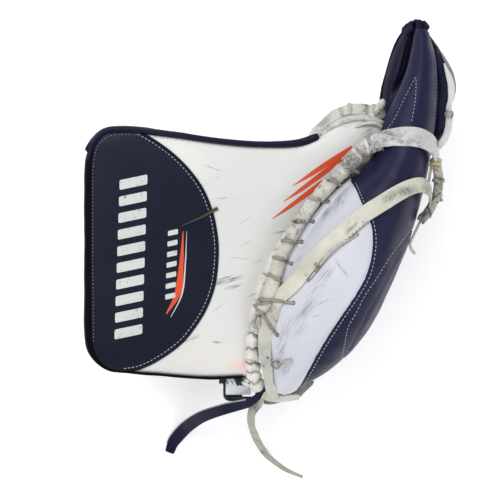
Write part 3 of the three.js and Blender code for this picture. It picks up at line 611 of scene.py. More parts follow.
def stitch(name, plans, surface, material, body, slot="webbing", **more):
    """Rows of stitches on what lies below each line in plan."""
    parts = []
    for plan in plans:
        count = max(12, int(lengths(np.array(plan, float))[-1] / 2))
        line = Spline(plan).even(count)
        places, normals = surface.drop(line)
        parts += dashes(places, normals, **more)
    return declare(make_all(name, parts, material, body), slot)


def grid_inside(loop, step):
    """A square grid of points in plan, inside an outline."""
    low, high = loop.min(0), loop.max(0)
    gx, gy = np.meshgrid(np.arange(low[0], high[0], step), np.arange(low[1], high[1], step))
    grid = np.stack([gx.ravel(), gy.ravel()], 1)
    return grid[inside(grid, loop)]


def outline_distance(points, loop):
    """How far points in plan are from an outline."""
    a, b = loop, np.roll(loop, -1, 0)
    best = np.full(len(points), np.inf)
    for p, q in zip(a, b):
        d = q - p
        t = np.clip(((points - p) @ d) / max(np.dot(d, d), 1e-9), 0, 1)
        best = np.minimum(best, np.linalg.norm(points - (p + t[:, None] * d), axis=1))
    return best


def inside(points, loop):
    """Which points in plan are inside an outline."""
    x, y = points[:, 0], points[:, 1]
    found = np.zeros(len(points), bool)
    for (x1, y1), (x2, y2) in zip(loop, np.roll(loop, -1, 0)):
        if y1 == y2:
            continue
        crosses = (y1 > y) != (y2 > y)
        found ^= crosses & (x < (x2 - x1) * (y - y1) / (y2 - y1) + x1)
    return found


def fill_outline(loop, within):
    """Triangles over an outline and the points within it: points, faces, and where each point came from."""
    edges = [(i, (i + 1) % len(loop)) for i in range(len(loop))]
    corners = [Vector(p) for p in np.vstack([loop, within])]
    points, _, faces, origin, _, _ = delaunay_2d_cdt(corners, edges, [], 1, 1e-6)
    return np.array([tuple(p) for p in points]), faces, origin


def pad(name, loop, top, bottom, material, body, radius, step=3.5, side_rows=4):
    """A padded piece of an outline. top and bottom give heights from x, y and the distance to the outline."""
    loop = np.asarray(loop, float)
    after, before = np.roll(loop, -1, 0), np.roll(loop, 1, 0)
    along = unit(after - before)
    inwards = np.stack([-along[:, 1], along[:, 0]], 1)
    if np.sum(loop[:, 0] * after[:, 1] - after[:, 0] * loop[:, 1]) < 0:
        inwards = -inwards
    rings = []
    for share in (0.12, 0.3, 0.55, 0.8, 1.1):
        ring = loop + inwards * radius * share
        good = inside(ring, loop) & (outline_distance(ring, loop) > 0.93 * radius * share)
        rings.append(ring[good][:: 1 if share < 0.5 else 2])
    grid = grid_inside(loop, step)
    grid = grid[outline_distance(grid, loop) > radius * 1.1 + 0.5 * step]
    n = len(loop)
    plan, faces, origin = fill_outline(loop, np.vstack([*rings, grid]))
    rim_of = {o: i for i, found in enumerate(origin) for o in found if o < n}
    far = outline_distance(plan, loop)
    fall = radius - np.sqrt(np.maximum(radius ** 2 - (radius - np.minimum(far, radius)) ** 2, 0))
    upper = np.column_stack([plan, top(plan[:, 0], plan[:, 1], far) - fall])
    lower = np.column_stack([plan, bottom(plan[:, 0], plan[:, 1], far) + 0.6 * fall])
    count = len(plan)
    points = [upper, lower]
    all_faces = both_layers(faces, count)
    rows = [[rim_of[i] for i in range(n)]]
    start = 2 * count
    for k in range(1, side_rows):
        share = k / side_rows
        rim_top, rim_low = upper[rows[0]], lower[rows[0]]
        ring = rim_top * (1 - share) + rim_low * share
        points.append(ring)
        rows.append([start + i for i in range(n)])
        start += n
    rows.append([i + count for i in rows[0]])
    for a, b in zip(rows, rows[1:]):
        for i in range(n):
            j = (i + 1) % n
            all_faces.append((a[i], a[j], b[j], b[i]))
    return make(name, np.vstack(points), all_faces, material, body, smooth=60)


def closed_loop(*pieces, spacing=3.0):
    """An outline from smooth pieces that meet in corners, with points at about even distances."""
    points = []
    for piece in pieces:
        curve = Spline(piece) if len(piece) > 2 else None
        far = lengths(curve.at(np.linspace(0, 1, 60)) if curve else np.array(piece, float))[-1]
        count = max(2, int(far / spacing) + 1)
        line = curve.even(count) if curve else resample(piece, count)
        points.append(line[:-1])
    return np.vstack(points)


# ---------------------------------------------------------------- cuff and thumb board
BOARD_TOP = 97.0
BOARD_FOOT = 79.0
LINING_TOP = 79.6
LINING_FOOT = 77.2
BOARD_LOOP = closed_loop(
    [(-18, -152), (-50, -153.5), (-70, -153), (-100, -150.5), (-126, -148.5), (-146, -145), (-157, -135),
     (-161.5, -118)],
    [(-161.5, -118), (-162, -60), (-162, 0), (-161.5, 40)],
    [(-161.5, 40), (-158, 56), (-148, 66.5), (-132, 68.5)],
    [(-132, 68.5), (-100, 65), (-81, 62.6), (-45, 57.6), (-9, 54.8), (26, 55.7),
     (42, 61.5), (52, 70.5), (62, 78), (74, 82.5), (88, 83.5), (99, 80.5), (104, 73)],
    [(104, 73), (101, 61), (87, 48.5), (64, 31), (38, 4), (16, -26), (0, -62), (-9, -96),
     (-14, -130), (-18, -152)],
)


def board_height(x, y, far):
    crown = 2.0 * (1 - np.exp(-far / 16)) - 2.0
    thumb = 5.5 * np.exp(-(((x - 70) / 34) ** 2 + ((y - 58) / 26) ** 2))
    hollow = -2.5 * np.exp(-(((x + 20) / 60) ** 2 + ((y + 40) / 90) ** 2))
    return BOARD_TOP + 1.2 + crown + thumb + hollow


def board_underside(_, y, far):
    """The lining, sewn down in channels along the cuff."""
    channels = 1.3 * np.abs(np.sin(y * math.pi / 31)) ** 0.5
    return LINING_FOOT - channels * (1 - np.exp(-far / 6))


def level(height):
    """A height that is the same all over a piece."""
    return lambda x, y, far: np.full(len(x), height)


board = pad("cuff_board_cover", BOARD_LOOP, board_height, level(BOARD_FOOT), white_board,
            THUMB, radius=4.5)
declare(board, "white_leather", "cuff_cover", "cuff_foam", "cuff_stiffener", fill=0.9)
board_surface = Surface(board)
lining = pad("cuff_board_lining", BOARD_LOOP, level(LINING_TOP), board_underside, grey_mesh,
             THUMB, radius=1.5, side_rows=2)
declare(lining, "grey_suede", "cuff_lining", fill=0.6)

MOON_ARC = [(-118, 68), (-102, 58.5), (-85.5, 46), (-71, 31), (-60, 15), (-52, -5), (-48, -25), (-47, -42),
            (-50, -70), (-57, -90), (-65, -104), (-79, -121.5), (-100, -137), (-118, -145.5), (-133, -148)]
MOON_LOOP = closed_loop(
    MOON_ARC,
    [(-133, -148), (-146, -144.5), (-156.5, -134.5), (-161, -118)],
    [(-161, -118), (-161.5, -60), (-161.5, 0), (-161, 40)],
    [(-161, 40), (-157.5, 55.5), (-148, 66), (-132, 68), (-118, 68)],
)


def moon_height(x, y, far):
    board_far = outline_distance(np.stack([x, y], 1), BOARD_LOOP)
    return board_height(x, y, board_far) + 1.1 + 1.4 * (1 - np.exp(-far / 9))


moon = pad("cuff_end_panel_cover", MOON_LOOP, moon_height,
           lambda x, y, far: moon_height(x, y, far) - 2.6, navy_cuff, THUMB, radius=1.3, side_rows=2)
declare(moon, "navy_leather", "cuff_end_panel")
moon_surface = Surface(moon)


def offset_line(plan, distance):
    """A line beside another, to its left when distance is positive."""
    line = Spline(plan).even(60)
    return line + left_of(line) * distance


PIPING_WIDTH = 1.7
places, normals = board_surface.drop(Spline(offset_line(MOON_ARC, 0.2)).even(150), 0.5)
across, face = frame_of(places, normals)
sweep("cuff_panel_piping", places, across, face, PIPING_WIDTH, PIPING_WIDTH,
              navy_cuff, THUMB, sides=10, edge_shade_and_dirt=0)
stitch("cuff_panel_stitches", [offset_line(MOON_ARC, -2.6)], moon_surface, white_thread, THUMB)
EDGE_LINE = [(-158.5, -122), (-159, -60), (-159, 0), (-158.5, 38), (-155, 54), (-146, 63),
             (-132, 65), (-119, 64.5)]
stitch("cuff_edge_stitches", [EDGE_LINE], moon_surface, dull_thread, THUMB, length=1.6, gap=1.6, width=0.5)

# The padded wall round the cuff's edge, and the binding over its upper edge.
WALL_MIDDLE, WALL_HALF = 87.0, 10.6
BINDING_MIDDLE = 96.6
WALL_LINE = [(-24, -153.2), (-50, -154.4), (-70, -153.8), (-100, -151.3), (-126, -149.2), (-147, -145.5),
             (-158, -135.5), (-162.3, -118), (-162.8, -60), (-162.8, 0), (-162.3, 40), (-158.8, 56.5),
             (-148.5, 67.2), (-132, 69.3), (-100, 65.9), (-81, 63.6), (-45, 58.6),
             (-9, 55.8), (26, 56.7), (40, 60.5)]


def wall(name, line, section, material, body, count=150):
    """A closed section swept round the board. section holds pairs of how far out and how high."""
    path = Spline(line).even(count)
    rings = []
    for i, (p, o) in enumerate(zip(path, left_of(path))):
        share = i / (len(path) - 1)
        rings.append([[*(p + o * far), z] for far, z in section(share, p)])
    rings = np.array(rings)
    return make(name, rings.reshape(-1, 3), tube_faces(*rings.shape[:2]), material, body, smooth=70)


def wall_section(_, place):
    left = math.exp(-((max(0, abs(place[1] + 42) - 82) / 14) ** 2)) if place[0] < -140 else 0.0
    swell = 1.2 + 4.0 * left + (3.4 if place[1] > 50 else 0) * min(1, max(0.35, (60 - place[0]) / 170))
    swell += 0.5 * noise.noise(Vector((place[0] / 17, place[1] / 17, 0.5)))
    angles = np.linspace(-0.5 * math.pi, 0.5 * math.pi, 15)
    bow = [(swell * max(math.cos(a), 0) ** 0.7, WALL_MIDDLE + WALL_HALF * math.sin(a)) for a in angles]
    return bow + [(-1.6, WALL_MIDDLE + WALL_HALF - 0.4), (-1.6, WALL_MIDDLE - WALL_HALF + 0.4)]


cuff_wall = wall("cuff_edge_wall_cover", WALL_LINE, wall_section, navy_wall, THUMB, 240)
declare(cuff_wall, "navy_leather", "cuff_edge_wall", fill=0.9)


def binding_section(share, _):
    grow = min(1, share * 9) * min(1, (1 - share) * 60 + 0.7) * (1 + 0.5 * max(0, share - 0.8) / 0.2)
    angles = np.linspace(0, 2 * math.pi, 12, endpoint=False)
    return [(0.9 + 2.5 * grow * math.cos(a), BINDING_MIDDLE + 2.1 * grow * math.sin(a)) for a in angles]


BINDING_LINE = [(-163, 30), (-162.3, 43), (-158.5, 56.5), (-148.5, 67), (-132, 69.2), (-100, 65.9),
                (-81, 63.5), (-45, 58.5), (-9, 55.7), (26, 57), (44, 62.5)]
binding = wall("cuff_edge_binding", BINDING_LINE, binding_section, navy_top, THUMB)
BINDING_SEAM = [(-112, 63.4), (-81, 60.4), (-45, 55.4), (-9, 52.7), (26, 53.6), (36, 56.5)]
stitch("cuff_binding_stitches", [BINDING_SEAM], board_surface, dull_thread, THUMB,
       length=1.5, gap=1.5, width=0.5)


# ---------------------------------------------------------------- printed marks
def printed(name, shapes, surface, material, slot="white_leather", lift=0.22, step=2.5):
    """Ink on a surface: flat shapes in plan, laid on what is below them."""
    parts = []
    for loop in shapes:
        loop = np.asarray(loop, float)
        grid = grid_inside(loop, step)
        grid = grid[outline_distance(grid, loop) > 0.4 * step] if len(grid) else grid
        n = len(loop)
        plan, faces, _ = fill_outline(loop, grid)
        places, _ = surface.drop(plan, lift)
        under = places - np.array([0, 0, 2 * lift])
        count = len(plan)
        rim = [(i, (i + 1) % n, (i + 1) % n + count, i + count) for i in range(n)]
        parts.append((np.vstack([places, under]), both_layers(faces, count) + rim))
    return declare(make_all(name, parts, material, THUMB, smooth=40), slot)


def slanted_bar(centre, length, width, slant, corner):
    """A bar that lies across the cuff, with slanted ends and rounded corners."""
    hl, hw = length / 2, width / 2
    corners = [(-hw, -hl - slant), (hw, -hl + slant), (hw, hl + slant), (-hw, hl - slant)]
    return rounded(corners, corner, 5) + centre


BAR_COUNT, BAR_PITCH = 10, 14.9
BAR_HEIGHT, BAR_WIDTH, BAR_SLANT, BAR_CORNER = 8.8, 25, 2.6, 1.6
bars = [slanted_bar((-127 + 0.5 * k, -112 + BAR_PITCH * k), BAR_HEIGHT, BAR_WIDTH, BAR_SLANT, BAR_CORNER)
        for k in range(BAR_COUNT)]
printed("cuff_bars", bars, moon_surface, print_white)


def stripe(spine, widths, count=30):
    """A tapered stripe along a line."""
    line = Spline(spine).even(count)
    aside = left_of(line) * spread(widths, count)[:, None] / 2
    return np.vstack([line + aside, (line - aside)[::-1]])


orange = stripe([(-78, -22), (-79.5, -50), (-83, -78), (-93, -96)], (0.8, 3.5, 6.5, 1.2))
printed("cuff_stripe_orange", [orange], moon_surface, print_orange, "navy_leather")
DASH_COUNT, DASH_PITCH = 7, 9.5
small = [slanted_bar((-89.5 + 0.4 * k, -80 + DASH_PITCH * k), 4.6, 9.0, 1.0, 1.0) for k in range(DASH_COUNT)]
small.append(stripe([(-74.8, -22), (-76, -50), (-79, -78), (-89, -99)], (0.3, 1.1, 1.4, 0.5)))
printed("cuff_dashes", small, moon_surface, print_white)
claws = [
    stripe([(20.1, 18.9), (34, 27.6), (50, 38.2), (74, 53)], (0.3, 3.8, 4.7, 4.4)),
    stripe([(11.6, 4.6), (25, 13.6), (41, 25.4), (64, 43)], (0.3, 3.6, 4.6, 4.2)),
    stripe([(1.7, -10.7), (13, -3), (28, 8), (48, 23)], (0.3, 3.4, 4.4, 4.2)),
]
printed("thumb_stripes", claws, board_surface, print_orange, lift=0.35)

places, normals = moon_surface.drop(Spline([(-79, -17), (-70, -13), (-60, -8.5), (-53, -4.5)]).even(24), 1.0)
more, _ = board_surface.drop([(-49.5, -2.4), (-47.5, -1.4)], 1.4)
cross = np.vstack([places, more])
across, face = frame_of(cross, np.broadcast_to([0, 0, 1.0], cross.shape))
sweep("cuff_tie", cross, across, face, np.linspace(1.2, 3.0, len(cross)), 1.3,
              dark_lace, THUMB, sides=10)


# ---------------------------------------------------------------- rolled edges and laces
def rolled_edge(name, points, radii, pinches, material, body, pinch=0.14, pinch_width=3.0, wrinkle=0.06,
                ring_step=0.9, sides=34, soil_and_shade=0.55, sway=2.0):
    """A rolled leather edge, pulled in by its lace at the pinches and darkened there and in its creases by
    painted shade. Returns the piece and its middle line.
    """
    far = lengths(Spline(points).even(400))[-1]
    path = Spline(points).even(int(far / ring_step))
    s = lengths(path)
    radius = np.interp(s / s[-1], np.linspace(0, 1, len(radii)), radii)
    across, face = frame_of(path, np.broadcast_to([0, 0, 1.0], path.shape))
    angle = np.linspace(0, 2 * np.pi, sides, endpoint=False)
    rings = np.empty((len(path), sides, 3))
    shade_and_dirt = np.zeros((len(path), sides))
    for i, p in enumerate(path):
        end = min(1.0, math.sqrt(min(s[i], s[-1] - s[i]) / radius[i] + 0.15))
        for j, a in enumerate(angle):
            direction = across[i] * math.cos(a) + face[i] * math.sin(a)
            place = p + 9 * direction
            waver = sway * noise.noise(Vector((math.cos(a), math.sin(a), s[i] / 17)))
            pull = max((math.exp(-(((s[i] - where + waver) / pinch_width) ** 2)) for where in pinches),
                       default=0.0)
            fold = abs(noise.noise(Vector((p + 6 * direction) / 6.5)))
            n = noise.noise(Vector(place / 10)) + 0.5 * noise.noise(Vector(place / 4)) - 0.8 * (0.25 - fold)
            rings[i, j] = p + direction * radius[i] * end * (1 - pinch * pull + wrinkle * n)
            # Painted shade, with dirt, where the lace pinches the roll, and painted shade in its creases.
            crease_shade = max(0.0, 1 - fold / 0.05)
            shade_and_dirt[i, j] = soil_and_shade * pull ** 2 + 0.35 * crease_shade
    faces = tube_faces(len(path), sides)
    made = make(name, rings.reshape(-1, 3), faces, material, body, smooth=80, shade_and_dirt=shade_and_dirt.ravel())
    return made, path


def nearest_on(path, x, y):
    return int(np.argmin(np.hypot(path[:, 0] - x, path[:, 1] - y)))


def lace_round(path, radius, top, hole, surface, width=3.0, thickness=1.5, below=-0.9, bed=0.5):
    """One turn of lace: up the outer side of a rolled edge at top, over it, and down into a hole in plan."""
    centre = path[nearest_on(path, *top)]
    towards = np.array([hole[0] - centre[0], hole[1] - centre[1], 0.0])
    reach = float(np.linalg.norm(towards))
    towards /= reach
    r = radius + bed
    points, normals = [], []
    for a in np.linspace(below, 0.60 * math.pi, 12):
        direction = -towards * math.cos(a) + np.array([0, 0, math.sin(a)])
        points.append(centre + direction * r)
        normals.append(direction)
    floor, floor_normals = surface.drop([tuple((centre + towards * d)[:2]) for d in
                                         np.linspace(min(r * 1.0, reach * 0.8), reach, 4)], 0.7)
    for p, n in zip(floor, floor_normals):
        if p[2] > centre[2] - radius:
            points.append(p)
            normals.append(n)
    points.append(points[-1] - np.array([0, 0, 2.6]) + towards * 0.7)
    normals.append(unit(np.array([*towards[:2], 0.3])))
    line = resample(np.array(points), 28)
    up = unit(resample(np.array(normals), 28))
    k = np.linspace(0, 1, 28)
    aside = np.array([-towards[1], towards[0]])
    bend = 1.1 * np.sin(math.pi * k) * math.sin(centre[0]) + 0.4 * np.sin(9 * k + centre[0])
    line[:, :2] += aside * bend[:, None]
    across, face = frame_of(line, up)
    # Painted shade along the lace's sides and at both ends, darkest at the end that goes into the hole.
    return sweep("", line, across, face, width * (1 - 0.25 * k ** 6), thickness, None, sides=12, power=2.6,
                 collect=True, edge_shade_and_dirt=0.75, end_shade=(0.5, 0.9))


def holes(name, spots, surface, body, radius=1.7):
    """Painted shade in the holes where lace goes in: small dark discs, each with a rolled rim."""
    parts = []
    for spot in spots:
        places, normals = surface.drop([spot], 0.05)
        n = normals[0]
        a = unit(np.cross(n, [0.3, 1, 0.2]))
        b = np.cross(n, a)
        rings = []
        for r, h in ((0.02, -0.25), (0.62, -0.2), (0.8, 0.25), (1.0, 0.3), (1.15, 0.0), (1.1, -0.5)):
            rings.append([places[0] + radius * r * (a * math.cos(t) + b * math.sin(t)) + n * h
                          for t in np.linspace(0, 2 * math.pi, 14, endpoint=False)])
        parts.append((np.array(rings).reshape(-1, 3), tube_faces(6, 14)))
    return declare(make_all(name, parts, dark_lace, body), "lace_leather")


# ---------------------------------------------------------------- finger shell
RIBS = [
    ([0, -166, 94], [16, -171, 80], 99),
    ([-5, -128, 108], [60, -144, 74], 122),
    ([3, -92, 113], [90, -112, 72], 137),
    ([17, -57, 114], [111, -70, 70], 145),
    ([37, -20, 114], [128, -28, 70], 147),
    ([63, 12, 114], [140, 14, 71], 143),
    ([90, 39, 113], [148, 58, 73], 135),
    ([105, 84, 111], [153, 97, 75], 127),
    ([121, 121, 107], [151, 130, 77], 118),
    ([130, 160, 98], [144, 158, 80], 105),
]
FRONT, BACK = Spline([r[0] for r in RIBS]), Spline([r[1] for r in RIBS])
CROWN = Spline([[r[2], 0, 0] for r in RIBS])


def shell(u, v):
    """The finger shell's outer surface: u from heel to tip, v from front edge to back edge."""
    u, v = np.broadcast_arrays(np.asarray(u, float), np.asarray(v, float))
    front, back = FRONT.at(u), BACK.at(u)
    rise = CROWN.at(u)[..., 0] - front[..., 2]
    first, second = front + 0.32 * (back - front), front + 0.97 * (back - front)
    first[..., 2] = front[..., 2] + 1.4 * rise
    second[..., 2] = front[..., 2] + 1.65 * rise
    found = bezier(front, first, second, back, v[..., None])
    found[..., 2] = np.where(v < 0, front[..., 2] + 0.9 * rise * v, found[..., 2])
    return found


def shell_normal(u, v):
    d = 0.003
    along_u = shell(np.minimum(1, u + d), v) - shell(np.maximum(0, u - d), v)
    along_v = shell(u, v + d) - shell(u, v - d)
    return unit(np.cross(along_v, along_u))


def width_at(u):
    """The finger shell's width from front to back."""
    return np.linalg.norm(BACK.at(u) - FRONT.at(u), axis=-1)


def tuck_v(u):
    """How far the covers go past the shell's front edge, under the rolled edge beside it."""
    tuck = np.interp(u, [0, 0.05, 0.2, 0.62, 0.7, 0.8, 1], [1, 5, 12, 12, 4, 1, 0])
    return -tuck / (0.96 * width_at(u))


TABLE_U, TABLE_V = np.meshgrid(np.linspace(0, 1, 501), np.linspace(-0.12, 1, 261), indexing="ij")
TABLE = shell(TABLE_U, TABLE_V)


def shell_share(plan):
    """u and v of the shell under points in plan."""
    found = []
    for x, y in plan:
        gap = np.hypot(TABLE[..., 0] - x, TABLE[..., 1] - y) - 0.002 * TABLE[..., 2]
        i, j = np.unravel_index(np.argmin(gap), gap.shape)
        found.append((TABLE_U[i, j], TABLE_V[i, j]))
    return np.array(found)


def share_line(plan):
    """v as a function of u along a line in plan."""
    shares = shell_share(Spline(plan).even(80))
    order = np.argsort(shares[:, 0])
    return lambda at: np.interp(at, shares[order, 0], shares[order, 1])


SEAM_PLAN = [(14, -170), (24.1, -166.2), (34, -146.8), (43.2, -128.6), (52.3, -112.5),
             (64.4, -93.3), (75, -77.5),
             (84.4, -60.1), (88.1, -43.1), (88.8, -27.3), (86.3, -14.2), (81, -2.5),
             (77, 8), (73, 20), (68.8, 28.6)]
GROOVE_PLAN = [(63, -146), (65, -141.3), (70.1, -131.2), (78.4, -113.3), (87.6, -94.1),
               (96.7, -77.8), (105.7, -60), (115.4, -43.1), (122.3, -35.1), (128.3, -20)]
seam_v = share_line(SEAM_PLAN)
SEAM_END = float(shell_share([SEAM_PLAN[-1]])[0, 0])
groove_v = share_line(GROOVE_PLAN)
GROOVE_START, GROOVE_END = (float(shell_share([p])[0, 0]) for p in (GROOVE_PLAN[0], GROOVE_PLAN[-1]))


def shell_panel(name, us, low, high, columns, material, thickness=2.2, proud=0.0, dip=1.1, body=FINGER):
    """A panel of the finger shell between two lines of v, pulled down along its edges where it is sewn."""
    share = np.linspace(0, 1, columns)
    share = 0.5 - 0.5 * np.cos(np.pi * share) * (1 - 0.25 * np.sin(np.pi * share))
    u = np.repeat(us[:, None], columns, 1)
    v = low(us)[:, None] + (high(us) - low(us))[:, None] * share[None]
    points, normals = shell(u, v), shell_normal(u, v)
    edge = np.minimum(v - low(us)[:, None], high(us)[:, None] - v) * 1.35 * width_at(us)[:, None]
    ends = np.minimum(u - us[0], us[-1] - u) * 450
    sunk = dip * np.exp(-(np.minimum(edge, ends + 2) / 2.2) ** 2)
    soft = rumple(points, 34) + 0.5 * rumple(points, 15)
    height = proud - sunk + 0.7 * soft
    outer = points + normals * height[..., None]
    inner = points + normals * (np.minimum(height, proud) - thickness)[..., None]
    return slab(name, outer, inner, material, body, bevel=0.5)


def white_high(us):
    return np.maximum(seam_v(us), tuck_v(us) + 0.004)


def navy_low(us):
    within = us < SEAM_END
    return np.where(within, np.maximum(seam_v(us), tuck_v(us)) + 0.004, tuck_v(us))


def navy_high(us):
    within = (us > GROOVE_START) & (us < GROOVE_END)
    return np.where(within, groove_v(us) - 0.004, 0.996)


white_finger = shell_panel("finger_white_panel", np.linspace(0.002, SEAM_END + 0.004, 150), tuck_v,
                           white_high, 40, white_panel, proud=0.15)
declare(white_finger, "white_leather", "finger_shell_white", fill=0.85)
navy_finger = shell_panel("finger_navy_panel", np.linspace(0.0, 1, 320), navy_low, navy_high, 60, navy_shell)
declare(navy_finger, "navy_leather", "finger_shell_navy", "finger_shell_foam", fill=0.85)
strip_us = np.linspace(GROOVE_START + 0.004, GROOVE_END - 0.002, 120)
outer_strip = shell_panel("finger_outer_strip", strip_us, lambda us: groove_v(us) + 0.005,
                          lambda us: np.full(len(us), 1.0), 18, navy_strip, proud=0.2, dip=1.4)
declare(outer_strip, "navy_leather", fill=0.8)

inner_u, inner_v = np.meshgrid(np.linspace(0.02, 0.97, 90), np.linspace(0.01, 0.97, 36), indexing="ij")
inner_points, inner_normals = shell(inner_u, inner_v), shell_normal(inner_u, inner_v)
ridges = 0.9 * np.abs(np.sin(inner_v * math.pi * 5)) ** 0.6
liner = slab("finger_liner", inner_points - inner_normals * 3.2,
             inner_points - inner_normals * (8.6 + ridges)[..., None], suede, FINGER)
declare(liner, "grey_suede", "finger_shell_liner", fill=0.7)

shell_surface = Surface(white_finger, navy_finger, outer_strip)
stitch("finger_seam_stitches", [offset_line(SEAM_PLAN[1:-1], -2.6)], shell_surface, white_thread, FINGER)
ROW = [(133.8, -8.5), (126.6, -17.9), (116.9, -29.9), (106.1, -43.1), (92.8, -63.7),
       (81.9, -79.5), (74.3, -95.3), (68.2, -106.4), (65.7, -122.7), (63.2, -141.1)]
stitch("finger_panel_stitches", [ROW], shell_surface, white_thread, FINGER)
stitch("finger_strip_stitches", [offset_line(GROOVE_PLAN[1:9], -3.3)], shell_surface, dull_thread, FINGER,
       length=2.4, gap=1.3, width=0.7)

# The rolled edge beside the finger shell, and its lace.
FINGER_EDGE = [(-11, -95, 109), (-4.7, -85.8, 112), (0.7, -74.3, 113),
               (4.2, -62.7, 113.5), (7.8, -49.4, 113.5),
               (17.6, -28.9, 113.5), (26.4, -13.8, 113.5), (35.3, -0.5, 113.5), (45.1, 11.5, 113.5),
               (55.8, 23.5, 113.5), (66.4, 34.2, 113.5), (77.1, 45.7, 114), (88, 54, 116), (97, 57.5, 119)]
FINGER_TURNS = [
    ((90, 55), (100.6, 49.4)), ((80, 48), (92, 46.5)), ((66.9, 36.5), (81, 37.6)), ((55.8, 23.5), (67, 22.6)),
    ((40.8, 6.3), (51.6, 4.2)), ((26.6, -13.5), (38, -13.4)), ((17.2, -29.9), (27.8, -31.4)),
    ((8.2, -47.5), (19, -50.8)), ((4.2, -62.7), (12.6, -68.6)), ((-3.5, -83.5), (20.4, -85.3)),
    ((-9.5, -93), (6.3, -113.9)),
]
finger_line = Spline(FINGER_EDGE).even(200)
turn_places = [lengths(finger_line)[nearest_on(finger_line, *top)] for top, _ in FINGER_TURNS]
finger_bead, finger_path = rolled_edge("finger_edge_roll", FINGER_EDGE,
                                       (6.6, 7.0, 6.4, 5.9, 5.9, 6.2, 7.0, 7.6, 7),
                                       turn_places, bead_leather, FINGER, wrinkle=0.09)
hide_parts("finger_rolled_edge")
bead_and_shell = Surface(white_finger, navy_finger, outer_strip, finger_bead)
parts = [lace_round(finger_path, 6.5, top, hole, shell_surface) for top, hole in FINGER_TURNS[:-2]]
finger_lace = make_all("finger_edge_laces", parts, lace_soiled, FINGER, smooth=70)
declare(finger_lace, "lace_leather", "finger_edge_lace")
# Dark discs of painted shade in the lace holes beside the rolled edge.
holes("finger_hole_shadows", [hole for _, hole in FINGER_TURNS[2:]], shell_surface, FINGER)

# The thumb side's rolled edge: puffy at the heel, hidden under the finger side, seen again at the thumb.
HEEL_EDGE = [(-8, -167, 84), (-11.8, -160, 89), (-14.8, -150, 94), (-16, -140, 97), (-16.2, -128, 98),
             (-15, -114, 99), (-14, -104, 98), (-11, -90, 96), (-4, -66, 94), (8, -42, 93), (30, -8, 92),
             (52, 16, 92), (74, 34, 92), (92, 48, 92)]
HEEL_RADII = (6.4, 7.0, 6.2, 5.0, 5.4, 6, 6, 6, 6, 6, 6)
HEEL_CREASES = [-165, -156, -147.5, -139.5, -127, -115, -106]
heel_line = Spline(HEEL_EDGE).even(300)
heel_s = lengths(heel_line)
heel_turns = [heel_s[int(np.argmin(np.abs(heel_line[:, 1] - y)))] for y in HEEL_CREASES]
heel_turns += list(np.arange(heel_turns[-1] + 22, heel_s[-1], 24.0))
heel_bead, heel_path = rolled_edge("thumb_edge_roll", HEEL_EDGE, HEEL_RADII, heel_turns, heel_leather, THUMB,
                                   pinch=0.27, pinch_width=2.3, wrinkle=0.2, soil_and_shade=0.7, sway=2.6)
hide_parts("thumb_rolled_edge")
THUMB_TOP = [(36, 61.5, 92), (44.6, 69.8, 94), (52.4, 77, 95), (61.6, 83.4, 96),
             (72, 86.7, 96.5), (83.7, 86.9, 96.5), (93.6, 85.5, 96), (103.5, 82, 95)]
_, thumb_path = rolled_edge("thumb_top_roll", THUMB_TOP, (4.2, 5.2, 5.8, 6.0, 5.8, 5.4), [37.5, 58],
                            thumb_leather, THUMB, pinch=0.07, pinch_width=5, wrinkle=0.16)
FOLDS = [([(46, 65, 97), (55, 72, 99.5), (66, 77.5, 100.5), (79, 80, 100.5), (91, 79, 100), (102, 75, 99)],
          (0.8, 2.4, 3.0, 2.6, 3.2, 2.4)),
         ([(76, 71, 102), (85, 74.5, 102.5), (94, 74.5, 102), (103, 70, 100.5)], (0.6, 1.7, 2.1, 1.4)),
         ([(58, 80, 98.5), (68, 84, 100), (79, 84.5, 100.5), (89, 84, 100)], (0.6, 2.0, 2.2, 1.0))]
for k, (line, radii) in enumerate(FOLDS):
    rolled_edge(f"thumb_fold_{k}", line, radii, [], thumb_leather, THUMB, wrinkle=0.25, sides=20)
THUMB_END = [(88, 80, 98), (95, 84.5, 101), (99, 90, 102), (101.5, 96.5, 100.5)]
rolled_edge("thumb_end_roll", THUMB_END, (2.6, 3.6, 3.6, 2.4), [9], thumb_leather, THUMB,
            pinch=0.16, wrinkle=0.2)


def band_round(path, where, radius, width, thickness, lean=0.0, turn=(0.0, 2 * math.pi), bed=0.3):
    """A lace round a rolled edge at a distance along it."""
    s = lengths(path)
    angle = np.linspace(*turn, 30)
    at = where + lean * np.sin(angle / 2 + 0.4)
    centre = read_at(at, s, path)
    along = unit(read_at(at, s, np.gradient(path, axis=0)))
    side = unit(np.cross(along, [0, 0, 1.0]))
    rise = np.cross(side, along)
    direction = side * np.cos(angle)[:, None] + rise * np.sin(angle)[:, None]
    line = centre + direction * (radius + bed)
    across, face = frame_of(line, direction)
    return sweep("", line, across, face, width, thickness, None, sides=10, power=2.4,
                 collect=True, edge_shade_and_dirt=0.8)


parts = []
for k, where in enumerate(heel_turns[1:7]):
    parts.append(band_round(heel_path, where, 4.9, 2.2, 1.2, lean=3.0 * (-1) ** k, turn=(0.15, 2.9), bed=0.0))
thumb_s = lengths(thumb_path)
parts.append(band_round(thumb_path, thumb_s[nearest_on(thumb_path, 69, 87)], 6.0, 3.2, 1.4,
                        lean=3, turn=(-0.9, 4.0)))
thumb_lace = make_all("thumb_edge_laces", parts, lace_white, THUMB, smooth=70)
declare(thumb_lace, "lace_leather", "thumb_edge_lace")
parts = [band_round(thumb_path, thumb_s[nearest_on(thumb_path, 89, 86.5)], 6.0, 2.8, 1.3,
                    lean=4, turn=(-0.7, 4.0))]
make_all("thumb_yellow_lace", parts, yellow_lace, THUMB, smooth=70)


